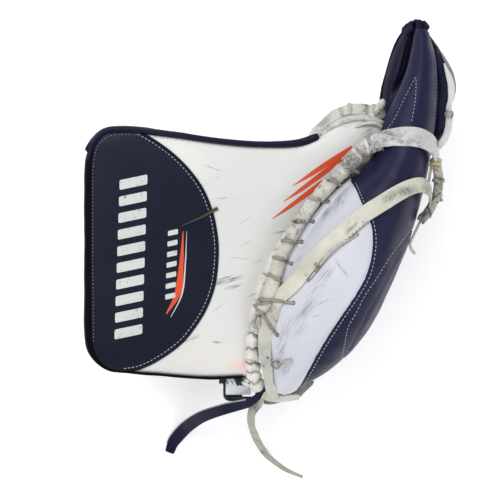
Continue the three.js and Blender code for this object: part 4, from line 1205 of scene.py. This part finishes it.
# ---------------------------------------------------------------- straps
def strap(name, stations, width, thickness, material, body, replaced=(), slot="lace_leather", curl=0.06,
          count=110, wave=0.0, edge_shade_and_dirt=0.35, end_shade=(0.0, 0.4)):
    """A flat leather strap through places with the way its face looks at each."""
    line = Spline([s[0] for s in stations]).even(count)
    known = lengths(np.array([s[0] for s in stations]))
    normals = np.array([s[1] for s in stations])
    at = np.linspace(0, known[-1], count)
    up = unit(read_at(at, known, normals))
    w = spread(width, count) if np.ndim(width) else width
    across, face = frame_of(line, up)
    ripple = np.array([noise.noise(Vector((x / 21, 3.3, 1.7))) for x in lengths(line)])
    line = line + face * (wave * ripple)[:, None]
    across, face = frame_of(line, up)
    # Painted shade, with some dirt, along the strap's sides, and painted shade at its ends as given.
    made = sweep(name, line, across, face, w, thickness, material, body, sides=28,
                 power=5.0, curl=curl, smooth=45, edge_shade_and_dirt=edge_shade_and_dirt, end_shade=end_shade)
    return declare(made, slot, *replaced)


def over(surface, plan, lift, lean=(0, 0, 0)):
    """Stations of a strap that lies on a surface."""
    places, normals = surface.drop(plan, lift)
    return [(p, unit(n + np.array(lean))) for p, n in zip(places, normals)]


def placed(*stations):
    """Stations of a strap in free air: a place, and the way its face looks."""
    return [(np.array(p, float), unit(np.array(n, float))) for p, n in stations]


long_plan = [(5.5, -87.5), (10.5, -80.5), (22, -68.5), (36, -50.8), (50.6, -36.2), (65, -22.8), (81.7, -8.8),
             (98.1, 2.5), (108, 9.4)]
strap_stations = over(shell_surface, Spline([(x, y, 0) for x, y in long_plan]).even(16)[:, :2], 2.6,
                      (-0.05, 0, 0.4))
strap_stations += placed(((121.5, 16, 141.5), (0.1, 0.1, 1)), ((132, 18.3, 135.5), (0.5, 0.1, 0.9)),
                         ((140.5, 14.5, 124), (0.9, 0.1, 0.4)), ((143, 7, 108), (1, 0, 0.1)),
                         ((144, 0, 94), (1, -0.1, 0)))
long_strap = strap("pocket_strap_diagonal", strap_stations,
                   (13, 15.6, 16, 15.6, 15.2, 14.8, 14.4, 13.5, 12, 9), 2.2,
                   strap_leather, FINGER, ("pocket_strap_long",), wave=0.4)
heel_stations = over(bead_and_shell, [(5, -87), (2.5, -95), (-1.5, -106), (-4.2, -116)], 1.8)
heel_stations += over(shell_surface, [(-2.9, -130.4), (-1.4, -143), (0, -156)], 1.8)
heel_stations += placed(((2, -167, 98), (-0.1, -0.2, 1)), ((4, -173, 94), (0, -0.6, 0.8)))
heel_strap = strap("pocket_strap_heel", heel_stations, (15, 16, 14.5, 12.5, 11.6, 11.2, 11, 10.6, 10), 2.0,
                   heel_strap_leather, FINGER, wave=0.6)
short_stations = placed(((80, 48.5, 117), (-0.5, 0.3, 0.9)), ((88, 54, 121), (-0.4, 0.2, 0.9)),
                        ((97, 58.5, 126.5), (-0.3, 0.1, 0.95)))
short_stations += over(shell_surface, [(110.8, 60.3)], 1.9)
short_stations += placed(((127.3, 60.2, 135), (0.3, 0, 1)), ((138.3, 57, 130), (0.6, 0, 0.8)),
                         ((145.5, 51, 121), (0.9, -0.1, 0.5)), ((149, 44, 110), (1, -0.2, 0.2)),
                         ((150, 37, 98), (1, -0.2, 0)))
# Painted shade at both ends of the strap.
strap("pocket_strap_upper", short_stations, (5, 11, 15.5, 17.5, 17.5, 16.5, 15, 13, 10),
      2.4, strap_dirty, FINGER, ("pocket_strap_short",), wave=1.0, end_shade=(0.5, 0.3))
strap_surface = Surface(long_strap, heel_strap)
STRAP_EDGE = [[(38.5, -54), (52.5, -40.6), (67.5, -27.4), (84, -14)],
              [(1, -118), (2.3, -130), (3.6, -150), (5, -163)]]
stitch("strap_stitches", STRAP_EDGE, strap_surface, tan_thread, FINGER, "lace_leather", length=2.4, gap=1.5,
       width=0.45)
thong = over(shell_surface, [(33, -66), (39, -59)], 1.0) + over(strap_surface, [(49, -44), (58, -35)], 0.9)
thong += over(shell_surface, [(68, -30.5), (76, -25)], 1.0)
strap("strap_thong", thong, (2.0, 2.6, 2.6, 2.2, 1.2), 1.3, lace_white, FINGER, count=50, edge_shade_and_dirt=0.8)

over_straps = Surface(white_finger, finger_bead, long_strap, heel_strap)
parts = [lace_round(finger_path, 6.8, top, hole, over_straps, width=3.0) for top, hole in FINGER_TURNS[-2:]]
parts.append(lace_round(finger_path, 6.9, (-5, -86), (12, -84), over_straps, width=2.6))
parts.append(lace_round(finger_path, 6.9, (-10, -94), (1, -108), over_straps, width=2.6))
make_all("strap_junction_laces", parts, lace_soiled, FINGER, smooth=70)
finger_s = lengths(finger_path)
parts = []
for x, y, radius, width, lean in ((74, 42.5, 6.6, 3.2, 5), (81, 48.5, 6.9, 3.8, 8), (86.5, 52.3, 7.0, 4.6, 9),
                                  (91.5, 55.5, 7.1, 4.8, 9)):
    where = finger_s[nearest_on(finger_path, x, y)]
    parts.append(band_round(finger_path, where, radius, width, 1.6, lean=lean, turn=(-0.6, 3.4), bed=0.1))
make_all("bead_top_wraps", parts, strap_dirty, FINGER, smooth=70)


# ---------------------------------------------------------------- top of the pocket
FLAP_LOOP = closed_loop(
    [(99, 80), (99.2, 90), (101.5, 108.9), (105.5, 124), (109.5, 138), (114, 150), (119, 158.5), (125, 164.5),
     (132, 167)],
    [(132, 167), (137, 164), (138, 150), (136, 125), (131, 100), (122, 84)],
    [(122, 84), (110, 78), (99, 80)],
)


def flap_top(x, y, far):
    pleats = 0.9 * np.sin(np.arctan2(x - 128, 182 - y) * 34) * np.clip((y - 148) / 20, 0, 1)
    slot = np.interp(y, [84, 121, 160], [104, 121.2, 130.5]) - x
    hollow = 8 * np.exp(-(np.maximum(slot, 0) / 3.3) ** 2) * np.clip((y - 96) / 20, 0, 1)
    return 80 + 16.5 * (1 - np.exp(-far / 7.5)) + 1.1 * np.sin(y / 9.0) * np.exp(-far / 12) + pleats - hollow


flap = pad("pocket_top_pad", FLAP_LOOP, flap_top, lambda x, y, far: 78.0 - 4 * (1 - np.exp(-far / 6)),
           navy_top, THUMB, radius=4, step=1.7)
declare(flap, "navy_leather", "pocket_top_flap", fill=0.8)

# The gathered tip: it goes from the tops of both halves round to their undersides.
TIP_OUTLINE = Spline([(119.5, 162.5, 0), (123.5, 166.4, 0), (128.9, 169.3, 0),
                      (132.4, 170.4, 0), (139.4, 168.4, 0), (143.4, 164.6, 0)])
tip_surface = Surface(flap, navy_finger)
fold_rows = []
for x, out_y, _ in TIP_OUTLINE.even(90):
    reach = 8.5 - 0.2 * abs(x - 132)
    start, _ = tip_surface.drop([(x + 0.02 * (132 - x) * reach, out_y - reach)], -1.6)
    top = start[0]
    top[2] = min(max(top[2], 92), 105)
    pleat = math.sin(1.35 * x) * math.exp(-((x - 130.5) / 8) ** 2)
    dent = 4.0 * math.exp(-((x - 130.8) / 1.0) ** 2)
    middle = 0.5 * (top[2] + 78)
    profile = Spline([top - np.array([0, 0, dent]), (x, out_y - 3.6 + 0.4 * pleat, top[2] - 1.6 - dent),
                      (x, out_y - 0.6 + 0.5 * pleat - 0.4 * dent, 0.5 * (top[2] + middle)),
                      (x, out_y + 0.3 * pleat, middle),
                      (x, out_y - 2.2, 0.5 * (middle + 78)), (x, out_y - 8, 79)])
    fold_rows.append(profile.even(20))
fold_rows = np.array(fold_rows)
fold = slab("pocket_top_turn", fold_rows, fold_rows - unit(fold_rows - np.array([131, 150, 88])) * 2.4,
            navy_top)
declare(fold, "navy_leather", "pocket_top_fold")
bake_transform(fold)

# Seams on the top of the finger shell, and the padded outer piece beside its ridge.
V_ROWS = [[(129, 115), (121, 100), (109, 76), (102, 66)], [(129, 113), (128, 96), (124, 74)],
          [(146.1, 67.5), (147.6, 101.6), (148.4, 134), (147.5, 148)]]
stitch("finger_top_stitches", V_ROWS, shell_surface, white_thread, FINGER, length=1.9, gap=1.5, width=0.5)
OUTER_LOOP = closed_loop(
    [(145.5, 156), (151.5, 148), (157.5, 138), (162.5, 127.5), (167, 116.5),
     (168.6, 105), (166.5, 96), (163, 89), (163, 80), (161, 69), (155, 60), (145, 56)],
    [(145, 56), (143.5, 90), (144.5, 130), (145.5, 156)],
)


def outer_top(_, y, far):
    return 83 + 13 * (1 - np.exp(-far / 6)) + 0.9 * np.sin(y / 6)


outer_pad = pad("pocket_outer_pad", OUTER_LOOP, outer_top, level(80.0), navy_top, FINGER,
                radius=3)
declare(outer_pad, "navy_leather", fill=0.7)
outer_surface = Surface(outer_pad)
edge_line = over(outer_surface, [(154.5, 139), (159.5, 129), (163.5, 118), (165.2, 107),
                                 (163.5, 98), (160, 91)], 1.2,
                 (-0.5, 0, 0.6))
strap("pocket_outer_edging", edge_line, (1.6, 3.6, 5.2, 4.6, 3.6, 2), 1.8, suede, FINGER, wave=0.8)

# The strap down the outside of the pocket, its knots and its braided lace.
WEB = over(outer_surface, [(156, 128), (161.8, 111), (162, 99), (160, 90), (160.3, 80), (159, 70)], 2.0,
           (-0.6, 0, 0.8))
WEB += placed(((157, 61.5, 95), (0.1, -0.2, 1)), ((151.5, 54.5, 98), (0.2, -0.3, 1)))
strap("pocket_outer_strap", WEB, (1.4, 5.5, 6.6, 4.8, 6.4, 7, 7, 6), 2.0, web_leather,
      FINGER, ("pocket_web_strap",), wave=0.8)


def coil(name, centre, axis, radius, turns, length, strand, material, body):
    """A knot or whipping: a lace wound a few turns round an axis."""
    t = np.linspace(0, 1, int(turns * 22))
    axis = unit(np.array(axis, float))
    side = unit(np.cross(axis, [0.2, 0.1, 1.0]))
    rise = np.cross(axis, side)
    angle = 2 * math.pi * turns * t
    swell = radius * (0.8 + 0.3 * np.sin(math.pi * t))
    away = side * (swell * np.cos(angle))[:, None] + rise * (swell * np.sin(angle))[:, None]
    line = np.array(centre, float) + axis * (length * (t - 0.5))[:, None] + away
    across, face = frame_of(line, away)
    made = sweep(name, line, across, face, strand, 0.6 * strand, material, body, sides=10,
                 power=2.4, edge_shade_and_dirt=0.7)
    return made


coil("pocket_upper_knot", (161.5, 84, 91), (0, 1, 0.1), 3.4, 2.6, 5, 2.8, lace_white, FINGER)
coil("pocket_yellow_knot", (147.5, 39, 110), (0.3, 1, -0.2), 4.2, 2.4, 9, 3.4, yellow_lace, FINGER)
strap("pocket_inner_strap", placed(((144.5, 37, 104), (1, 0, 0.4)), ((143, 29, 103), (1, 0, 0.4)),
                                   ((142.5, 22, 100), (1, 0, 0.3))), (4, 4.4, 4), 1.8, web_leather, FINGER)


def braid(name, line, radius, strand, pitch, material, body, strands=3):
    """Laces twisted round one another along a line."""
    path = Spline(line).even(int(lengths(Spline(line).even(200))[-1] / 0.8))
    s = lengths(path)
    across, face = frame_of(path, np.broadcast_to([1.0, 0.05, 0.3], path.shape))
    made = []
    for k in range(strands):
        angle = 2 * math.pi * (s / pitch + k / strands)
        wander = np.array([noise.noise(Vector((x / 9, 5.3 * k, 2.2))) for x in s])
        angle = angle + 1.1 * wander
        sideways = across * (radius * np.cos(angle))[:, None]
        track = path + sideways + face * (0.7 * radius * np.sin(angle))[:, None]
        a, f = frame_of(track, track - path)
        made.append(sweep("", track, a, f, strand, 0.6 * strand, None, sides=10, power=2.4, collect=True,
                          edge_shade_and_dirt=0.9))
    return make_all(name, made, material, body, smooth=70)


BRAID_LINE = [(147, 42, 106), (149.6, 33, 105), (150.8, 22.5, 103), (149.7, 11.5, 101), (146.1, 2.6, 99),
              (140.8, -6.4, 98), (135.8, -11.4, 98)]
web_lace = braid("pocket_outer_braid", BRAID_LINE, 3.9, 5.2, 19, lace_white, FINGER)
declare(web_lace, "lace_leather", "pocket_web_lace")
for name, place, axis, radius, turns, length, strand, leather in (
        ("pocket_braid_knot_top", (150.5, 24, 105), (0.3, 1, 0.2), 4.4, 1.7, 7, 3.4, lace_white),
        ("pocket_braid_knot_middle", (148.5, 8, 103), (-0.5, 1, 0.1), 5.0, 1.6, 8, 3.6, lace_white),
        ("pocket_braid_knot_end", (139, -8.5, 101), (-0.9, 1, 0), 4.2, 1.5, 6, 3.2, lace_soiled)):
    coil(name, place, axis, radius, turns, length, strand, leather, FINGER)
LACE_END = placed(((136, -11, 98), (0.6, 0, 0.8)), ((132.5, -18, 99), (0.6, 0, 0.8)),
                  ((128.5, -26, 102), (0.6, 0, 0.8)),
                  ((125, -33.5, 105), (0.6, 0, 0.8)), ((126.5, -38, 104), (0.6, 0, 0.8)),
                  ((129.5, -41.5, 102), (0.6, 0, 0.8)))
strap("pocket_lace_end", LACE_END, (2.4, 2.2, 2.2, 2.4, 2.6), 1.5, lace_white, FINGER, count=50)


# ---------------------------------------------------------------- soft pads on the hidden side
def puffed(name, nodes, material, body, slot_name, fill=0.7, voxel=5.0, cap=5.0, shrink=1.5, grain=0.5):
    """A soft piece over the CAD solids named: remeshed, puffed up by a cloth simulation, and smoothed."""
    work = bmesh.new()
    for node in nodes:
        work.from_mesh(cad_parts[node].data)
    mesh = bpy.data.meshes.new(name)
    work.to_mesh(mesh)
    work.free()
    made = bpy.data.objects.new(name, mesh)
    scene.collection.objects.link(made)
    thin = made.modifiers.new("thin", "DISPLACE")
    thin.strength = -shrink / 1000 * 0.5
    thin.mid_level = 0.0
    remesh = made.modifiers.new("remesh", "REMESH")
    remesh.mode = "VOXEL"
    remesh.voxel_size = voxel / 1000
    soft = made.modifiers.new("soft", "SMOOTH")
    soft.iterations = 4
    apply_all(made)
    rest = coordinates(made)
    cloth = made.modifiers.new("cloth", "CLOTH")
    cloth.settings.use_pressure = True
    cloth.settings.uniform_pressure_force = 4
    cloth.settings.effector_weights.gravity = 0
    cloth.point_cache.frame_end = 20
    for frame_number in range(1, 21):
        scene.frame_set(frame_number)
    apply_all(made)
    moved = coordinates(made) - rest
    far = np.linalg.norm(moved, axis=1, keepdims=True)
    moved *= np.minimum(1, cap / 1000 / np.maximum(far, 1e-9))
    made.data.vertices.foreach_set("co", (rest + moved).ravel())
    scene.frame_set(1)
    crumple = np.array([noise.noise(Vector(p * 45)) for p in coordinates(made)])
    normals = np.array([v.normal for v in made.data.vertices])
    crumpled = coordinates(made) + normals * (grain * crumple / 1000)[:, None]
    made.data.vertices.foreach_set("co", crumpled.ravel())
    finer = made.modifiers.new("finer", "SUBSURF")
    finer.levels = 1
    apply_all(made)
    made.data.materials.clear()
    made.data.materials.append(material)
    for polygon in made.data.polygons:
        polygon.use_smooth = True
    declare(made, slot_name, *nodes, fill=fill)
    if body:
        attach(made, body)
    return made


def apply_all(thing):
    """Makes what the modifiers show the mesh itself."""
    graph = bpy.context.evaluated_depsgraph_get()
    graph.update()
    shown = bpy.data.meshes.new_from_object(thing.evaluated_get(graph))
    thing.modifiers.clear()
    old = thing.data
    thing.data = shown
    bpy.data.meshes.remove(old)


def coordinates(thing):
    found = np.empty(3 * len(thing.data.vertices))
    thing.data.vertices.foreach_get("co", found)
    return found.reshape(-1, 3)


def across_at(u, share, z):
    p = FRONT.at(u) * (1 - share) + BACK.at(u) * share
    return np.array([p[0], p[1], z])


puffed("cuff_side_cushion", ["cuff_side_wall"], navy_cuff, THUMB, "navy_leather", 0.8, voxel=4, cap=2.5)
puffed("wrist_guard_cushion", ["wrist_guard_cover", "wrist_guard_pad"], navy_cuff,
       "wrist_guard", "navy_leather", 0.8, voxel=4, cap=2.0, shrink=2.5)
puffed("palm_cushion", ["palm_pad"], suede, THUMB, "foam", 0.6, voxel=4.5, cap=2.0, shrink=2.0)


# ---------------------------------------------------------------- palm, seen when the glove opens
palm_rows = []
for u in np.linspace(0.13, 0.65, 50):
    crown = float(CROWN.at(u)[0])
    turn = 1 - 22 / width_at(u)
    line = Spline([across_at(u, 0.18, 77), across_at(u, 0.35, 76), across_at(u, 0.9 * turn, 74),
                   across_at(u, turn, 76.5), across_at(u, turn, 83), across_at(u, 0.9 * turn, crown - 44),
                   across_at(u, 0.5, crown - 42), across_at(u, 0.32, crown - 44)])
    palm_rows.append(line.even(60))
palm_rows = np.array(palm_rows)
palm_rows[..., 2] += 1.2 * rumple(palm_rows, 16)
palm_under = palm_rows.copy()
palm_under[..., 2] -= 1.8
palm = slab("palm_pocket_leather", palm_rows, palm_under, palm_material)
declare(palm, "lace_leather", "palm_leather")
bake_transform(palm)


# ---------------------------------------------------------------- backhand
BACKHAND_RIBS = [
    ([-36, -134, 16], [58, -136, 46]),
    ([-38, -104, 4], [86, -108, 43]),
    ([-38, -62, 0], [105, -68, 41]),
    ([-37, -18, 0], [121, -24, 41]),
    ([-30, 24, 3], [132, 20, 42]),
    ([2, 58, 14], [137, 60, 46]),
]
WRIST, KNUCKLE = Spline([r[0] for r in BACKHAND_RIBS]), Spline([r[1] for r in BACKHAND_RIBS])


def backhand(u, v):
    """The backhand's outer surface: u from heel to thumb, v from wrist to knuckles."""
    wrist, knuckle = WRIST.at(u), KNUCKLE.at(u)
    first, second = wrist + 0.3 * (knuckle - wrist), wrist + 0.99 * (knuckle - wrist)
    first[..., 2] = wrist[..., 2] - 10
    second[..., 2] = -10
    found = bezier(wrist, first, second, knuckle, v[..., None])
    found[..., 2] = np.maximum(found[..., 2], 0)
    return found


def backhand_layer(name, outer_depth, inner_depth, margin, material, slot_name):
    """A layer of the backhand. The depths are functions of u and v."""
    u, v = np.meshgrid(np.linspace(margin, 1 - margin, 70),
                       np.linspace(margin / 2, 1 - margin / 2, 60), indexing="ij")
    d = 0.01
    along_u = backhand(np.minimum(1, u + d), v) - backhand(np.maximum(0, u - d), v)
    along_v = backhand(u, np.minimum(1, v + d)) - backhand(u, np.maximum(0, v - d))
    inwards = unit(np.cross(along_v, along_u))
    points = backhand(u, v)
    outer = points + inwards * outer_depth(u, v)[..., None]
    outer[..., 2] = np.maximum(outer[..., 2], 0.1)
    inner = points + inwards * inner_depth(u, v)[..., None]
    made = slab(name, outer, inner, material, THUMB, bevel=0.8)
    declare(made, slot_name, fill=0.8)
    return made


def quilt(u, v):
    """Depth of the sewn channels across the backhand."""
    channels = np.exp(-(((v * 5) % 1 - 0.5) / 0.06) ** 2) + 0.8 * np.exp(-(((u * 4) % 1 - 0.5) / 0.04) ** 2)
    edge = np.exp(-(np.minimum(np.minimum(u, 1 - u) * 220, np.minimum(v, 1 - v) * 150) / 2.4) ** 2)
    return 1.2 * np.minimum(channels, 1) + 1.4 * edge


cover = backhand_layer("backhand_quilted_cover", quilt, lambda u, v: np.full(u.shape, 3.0), 0.004, navy_shell,
                       "navy_leather")
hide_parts("backhand_cover")
padding = backhand_layer("backhand_lining", lambda u, v: np.full(u.shape, 3.4),
                         lambda u, v: 11 - 0.8 * quilt(u, v), 0.05, grey_mesh, "foam")
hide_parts("backhand_pad")


# ---------------------------------------------------------------- thumb stall and finger sleeve
def ring_wall(name, centres, outer, inner, material, body):
    """A tube with a wall, along X. outer and inner are radii from the place along it and the angle."""
    angle = np.linspace(0, 2 * math.pi, 48, endpoint=False)
    rows = []
    for radius in (outer, inner):
        for i, c in enumerate(centres):
            rows.append([c + radius(i, a) * np.array([0, math.cos(a), math.sin(a)]) for a in angle])
    n = len(centres)
    order = list(range(n)) + list(range(2 * n - 1, n - 1, -1))
    rings = np.array([rows[k] for k in order])
    return make(name, rings.reshape(-1, 3), hoop_faces(2 * n, 48), material, body, smooth=70)


STALL_OUTER, STALL_INNER = 17.6, 15.2


def stall_outer(i, a):
    wrinkle = 0.4 * noise.noise(Vector((i / 6, 3 * math.cos(a), a)))
    return STALL_OUTER + 0.35 * math.sin(1.4 * i) + wrinkle


stall_places = [np.array([x, 44, 53.8]) for x in np.linspace(-8, 62, 40)]
stall = ring_wall("thumb_stall_sleeve", stall_places, stall_outer, lambda i, a: STALL_INNER,
                  black_cloth, THUMB)
declare(stall, "black_textile", "thumb_stall")
sleeve_u, sleeve_v = np.meshgrid(np.linspace(0.26, 0.5, 40), np.linspace(0, 1, 44), indexing="ij")
sleeve_points = shell(sleeve_u, 0.3 + 0.42 * sleeve_v)
sleeve_normals = shell_normal(sleeve_u, 0.3 + 0.42 * sleeve_v)
sleeve_depth = 14.8 + 20 * np.sin(math.pi * sleeve_v) + 0.4 * np.sin(sleeve_u * 160)
sleeve = slab("finger_sleeve_cloth", sleeve_points - sleeve_normals * sleeve_depth[..., None],
              sleeve_points - sleeve_normals * (sleeve_depth + 2)[..., None], black_cloth, FINGER)
declare(sleeve, "black_textile", "finger_sleeve")


# ---------------------------------------------------------------- wrist strap, guard hinge, ring
wrist_stations = placed(*(((-112, -121.5, z), (0, -1, 0)) for z in np.linspace(63.5, 5.5, 12)))
strap("wrist_strap_band", wrist_stations, 30, 2.2, black_cloth, "wrist_strap",
      ("wrist_strap",), "black_textile", curl=0.0, edge_shade_and_dirt=0)
parts = []
for x in (-125.3, -98.7):
    rows = np.array([(x, -122.6, z) for z in np.linspace(62, 7, 30)])
    parts += dashes(rows, np.broadcast_to([0, -1.0, 0], rows.shape))
make_all("wrist_strap_stitches", parts, dull_thread, "wrist_strap")
loop_u, loop_v = np.meshgrid(np.linspace(0, 1, 12), np.linspace(0, 1, 20), indexing="ij")
patch = np.stack([-123.5 + 23 * loop_u, np.full(loop_u.shape, -122.7), 10 + 26 * loop_v], -1)
patch[..., 1] -= 0.5 * np.sin(math.pi * loop_u) ** 0.3 * np.sin(math.pi * loop_v) ** 0.3
loops = slab("wrist_strap_loop_patch", patch, patch + np.array([0, 0.9, 0]), dark_pile,
             "wrist_strap", bevel=0.3)

hinge_x, hinge_y = np.meshgrid(np.linspace(-60, -20, 24), np.linspace(-55, -6, 24), indexing="ij")
hinge_z = 16.9 + 0.25 * np.sin(hinge_y / 4) * np.sin(hinge_x / 5)
hinge_top = np.stack([hinge_x, hinge_y, hinge_z], -1)
hinge = slab("wrist_guard_hinge_leather", hinge_top, hinge_top - np.array([0, 0, 1.8]), suede)
declare(hinge, "grey_suede", "wrist_guard_hinge")
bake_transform(hinge)

RING = {"left": -40.5, "right": -11, "near": -157.6, "far": -175.4, "z": 65.0, "corner": 4.5}
corners = [(RING["left"], RING["near"]), (RING["left"], RING["far"]), (RING["right"], RING["far"]),
           (RING["right"], RING["near"])]
loop = np.array([(x, y, RING["z"]) for x, y in rounded(corners, RING["corner"], 8)])
along = unit(np.roll(loop, -1, 0) - np.roll(loop, 1, 0))
side = np.cross(along, [0, 0, 1.0])
angle = np.linspace(0, 2 * math.pi, 12, endpoint=False)
rings = loop[:, None] + side[:, None] * (2.2 * np.cos(angle))[None, :, None] \
    + np.array([0, 0, 1.5]) * np.sin(angle)[None, :, None]
ring = make("strap_ring_loop", rings.reshape(-1, 3), hoop_faces(len(loop), 12), black_plastic,
            "strap_ring", smooth=70)
declare(ring, "black_plastic", "strap_ring")

TAB = placed(((-27, -128, 76), (0, 0, 1)), ((-27.5, -146, 80), (0, 0.1, 1)),
             ((-28, -155, 80.5), (-0.05, 0, 1)),
             ((-28.6, -163, 77.5), (-0.08, -0.4, 1)), ((-28.8, -169, 72), (0, -0.8, 0.6)),
             ((-28.8, -170.6, 67.8), (0, -1, 0)), ((-28.7, -168, 66.9), (0, -0.2, -1)),
             ((-28, -158, 67.2), (0, 0, -1)))
tab = strap("heel_webbing_band", TAB, 23, 1.5, white_web, None, ("heel_webbing_tab",), "webbing", curl=0.0,
            edge_shade_and_dirt=0)
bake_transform(tab)

BLACK_BAND = placed(((-31.5, -160, 62), (0, 0.1, 1)), ((-31.5, -166, 61.5), (0, 0, 1)),
                    ((-31.5, -172, 63), (0, -0.1, 1)),
                    ((-31.5, -174.6, 60), (0, -1, 0.2)), ((-31.5, -172, 57), (0, -0.2, -1)))
strap("ring_black_webbing", BLACK_BAND, 13, 1.4, black_cloth, "strap_ring", (),
      "black_textile", curl=0.0, edge_shade_and_dirt=0)


# ---------------------------------------------------------------- heel
GUSSET_LOOP = closed_loop(
    [(-5.5, -179.4), (-1, -180), (6, -179.2), (17, -176), (28.6, -172.8)],
    [(28.6, -172.8), (33, -168), (41, -159), (20, -158), (-3, -158), (-5.5, -179.4)],
)
gusset = pad("heel_gusset_suede", GUSSET_LOOP,
             lambda x, y, far: 72.5 + 1.4 * np.sin(x / 3.4 + y / 5) + 0.5 * np.sin(x / 1.9),
             lambda x, y, far: 69.5 + 1.4 * np.sin(x / 3.4 + y / 5), suede, THUMB,
             radius=1.2, side_rows=3, step=1.6)
declare(gusset, "grey_suede", "heel_gusset")
strap("heel_strap_tab", placed(((-6, -170, 88), (0, -0.5, 0.9)), ((4, -173.5, 84), (0, -0.6, 0.8)),
                               ((14, -173.5, 80), (0, -0.6, 0.8)), ((26, -172.4, 77), (0, -0.5, 0.85))),
      (9, 8.5, 8, 6.5), 2.0, strap_leather, THUMB, ("heel_strap_end",), wave=0.6)
coil("heel_knot", (5.2, -140.5, 116), (0.25, 0.2, 1), 3.2, 2.3, 2.2, 2.2, lace_white, FINGER)
strap("heel_knot_tag", placed(((8, -140, 117.5), (0, 0, 1)), ((13, -138.5, 119.5), (0, 0, 1)),
                              ((18.5, -136.7, 121), (0, 0, 1))),
      (2.6, 3.0, 3.6), 1.4, lace_white, FINGER, count=40)
# A dark disc of painted shade in the hole on the heel strap.
holes("heel_hole_shadow", [(-2.2, -134.5)], Surface(heel_strap), FINGER, 1.2)
for name, place, axis, radius, material in (
        ("heel_lacing_outer", (-43, -155.5, 84), (1, 0.2, 0), 4.0, black_lace),
        ("heel_lacing_middle", (-36.5, -156.5, 86), (1, 0.3, 0), 3.6, web_leather),
        ("heel_lacing_inner", (-28.5, -156.5, 87), (0.8, 0.5, 0), 4.4, black_lace),
        ("heel_lacing_end", (-22, -159, 88), (0.6, 0.8, 0), 3.4, web_leather)):
    coil(name, place, axis, radius, 1.8, 5, 2.8, material, THUMB)
folds = [((-13.5, -96, 107), (-14.5, -103, 106), (-12, -109, 105)),
         ((-10, -98, 110), (-10.5, -104, 110), (-8.5, -110, 108)),
         ((-14, -108, 104), (-11, -112, 106), (-8, -113, 107))]
for k, line in enumerate(folds):
    rolled_edge(f"heel_fold_{k}", line, (1.8, 3.0, 1.8), [7], bead_leather, FINGER,
                pinch=0.2, wrinkle=0.2, sides=18)


# ---------------------------------------------------------------- loose tails
NAVY_TAIL = [
    ((-20, -178, 82), (0, -0.45, 0.9)), ((-41.5, -185, 66), (-0.5, -0.3, 0.8)),
    ((-62.5, -194.5, 42), (-0.7, -0.3, 0.6)),
    ((-75, -204, 22), (-0.6, -0.35, 0.7)), ((-81, -210, 11), (-0.4, -0.35, 0.85)),
    ((-87, -217, 4.5), (-0.15, -0.15, 1)), ((-91.5, -223, 1.5), (0, 0, 1)), ((-95, -232, 1.3), (0, 0, 1)),
]
PALE_TAIL = [
    ((-10, -179, 82), (-0.6, 0, 0.7)), ((-15.5, -185, 75), (-0.8, -0.4, 0.5)),
    ((-17, -198, 58), (-0.7, -0.6, 0.5)),
    ((-14, -210, 38), (-0.4, -0.6, 0.6)), ((-11, -219, 23), (-0.2, -0.5, 0.8)),
    ((-5.5, -229.5, 9), (-0.1, -0.2, 0.95)),
    ((0, -237, 2), (0, 0, 1)), ((16, -249, 1.3), (0, 0, 1)), ((32, -256, 1.3), (0, 0, 1)),
]


def tail(name, stations, widths, thickness, material, slot_name, root):
    """A loose leather tail and its root, which comes up out of the heel."""
    line = Spline([s[0] for s in stations]).at(np.linspace(0, 1, 90))
    up = unit(Spline([s[1] for s in stations]).at(np.linspace(0, 1, 90)))
    across, face = frame_of(line, up)
    w = spread(widths, 90)
    made = sweep(name + "_thong", line, across, face, w, thickness, material, THUMB,
                 sides=20, power=6.0, smooth=40, edge_shade_and_dirt=0.1)
    declare(made, slot_name, name)
    # Painted shade at the root's start, where it comes up out of the heel.
    strap(name + "_root", placed(*root) + [(line[0], up[0]), (line[2], up[2])],
          (4.5, 7, w[0]), thickness, material,
          THUMB, (), slot_name, count=40, curl=0.0, edge_shade_and_dirt=0.1, end_shade=(0.6, 0))
    return line, across, face, w


line, across, face, w = tail("tail_navy", NAVY_TAIL, (9, 10, 11.5, 12, 11.5, 9), 2.0,
                             navy_top, "navy_leather",
                             [((-4.5, -164, 90), (0, -0.5, 0.8)), ((-11, -171.5, 87), (0, -0.5, 0.9))])
backing = sweep("tail_navy_backing", line[:80] + (across * (0.5 * w)[:, None])[:80] - 0.2 * face[:80],
                across[:80], face[:80], 1.6, 2.0, suede, THUMB, sides=10, smooth=60)
tail("tail_pale", PALE_TAIL, (7, 9, 9, 8.5, 7.5, 6.5, 5.5, 4.2, 2.6), 1.8, tail_leather, "lace_leather",
     [((-4.5, -165, 88), (-0.3, -0.5, 0.8)), ((-7.8, -172, 86), (-0.5, -0.3, 0.8))])


# ---------------------------------------------------------------- floor
FLOOR_HALF = 3
FLOOR_GLOW = 0.33
floor_mesh = bpy.data.meshes.new("floor")
floor_corners = [(x * FLOOR_HALF, y * FLOOR_HALF, 0) for x, y in ((-1, -1), (1, -1), (1, 1), (-1, 1))]
floor_mesh.from_pydata(floor_corners, [], [(0, 1, 2, 3)])
floor = bpy.data.objects.new("floor", floor_mesh)
scene.collection.objects.link(floor)
pale = Shader("pale_floor", 0.9)
pale.out.inputs["Emission Color"].default_value = (1, 1, 1, 1)
pale.out.inputs["Emission Strength"].default_value = FLOOR_GLOW
floor_mesh.materials.append(pale.finish(pale.mix(pale.noise(2, 2), (0.93, 0.93, 0.93), (0.91, 0.91, 0.91))))

bpy.context.view_layer.update()
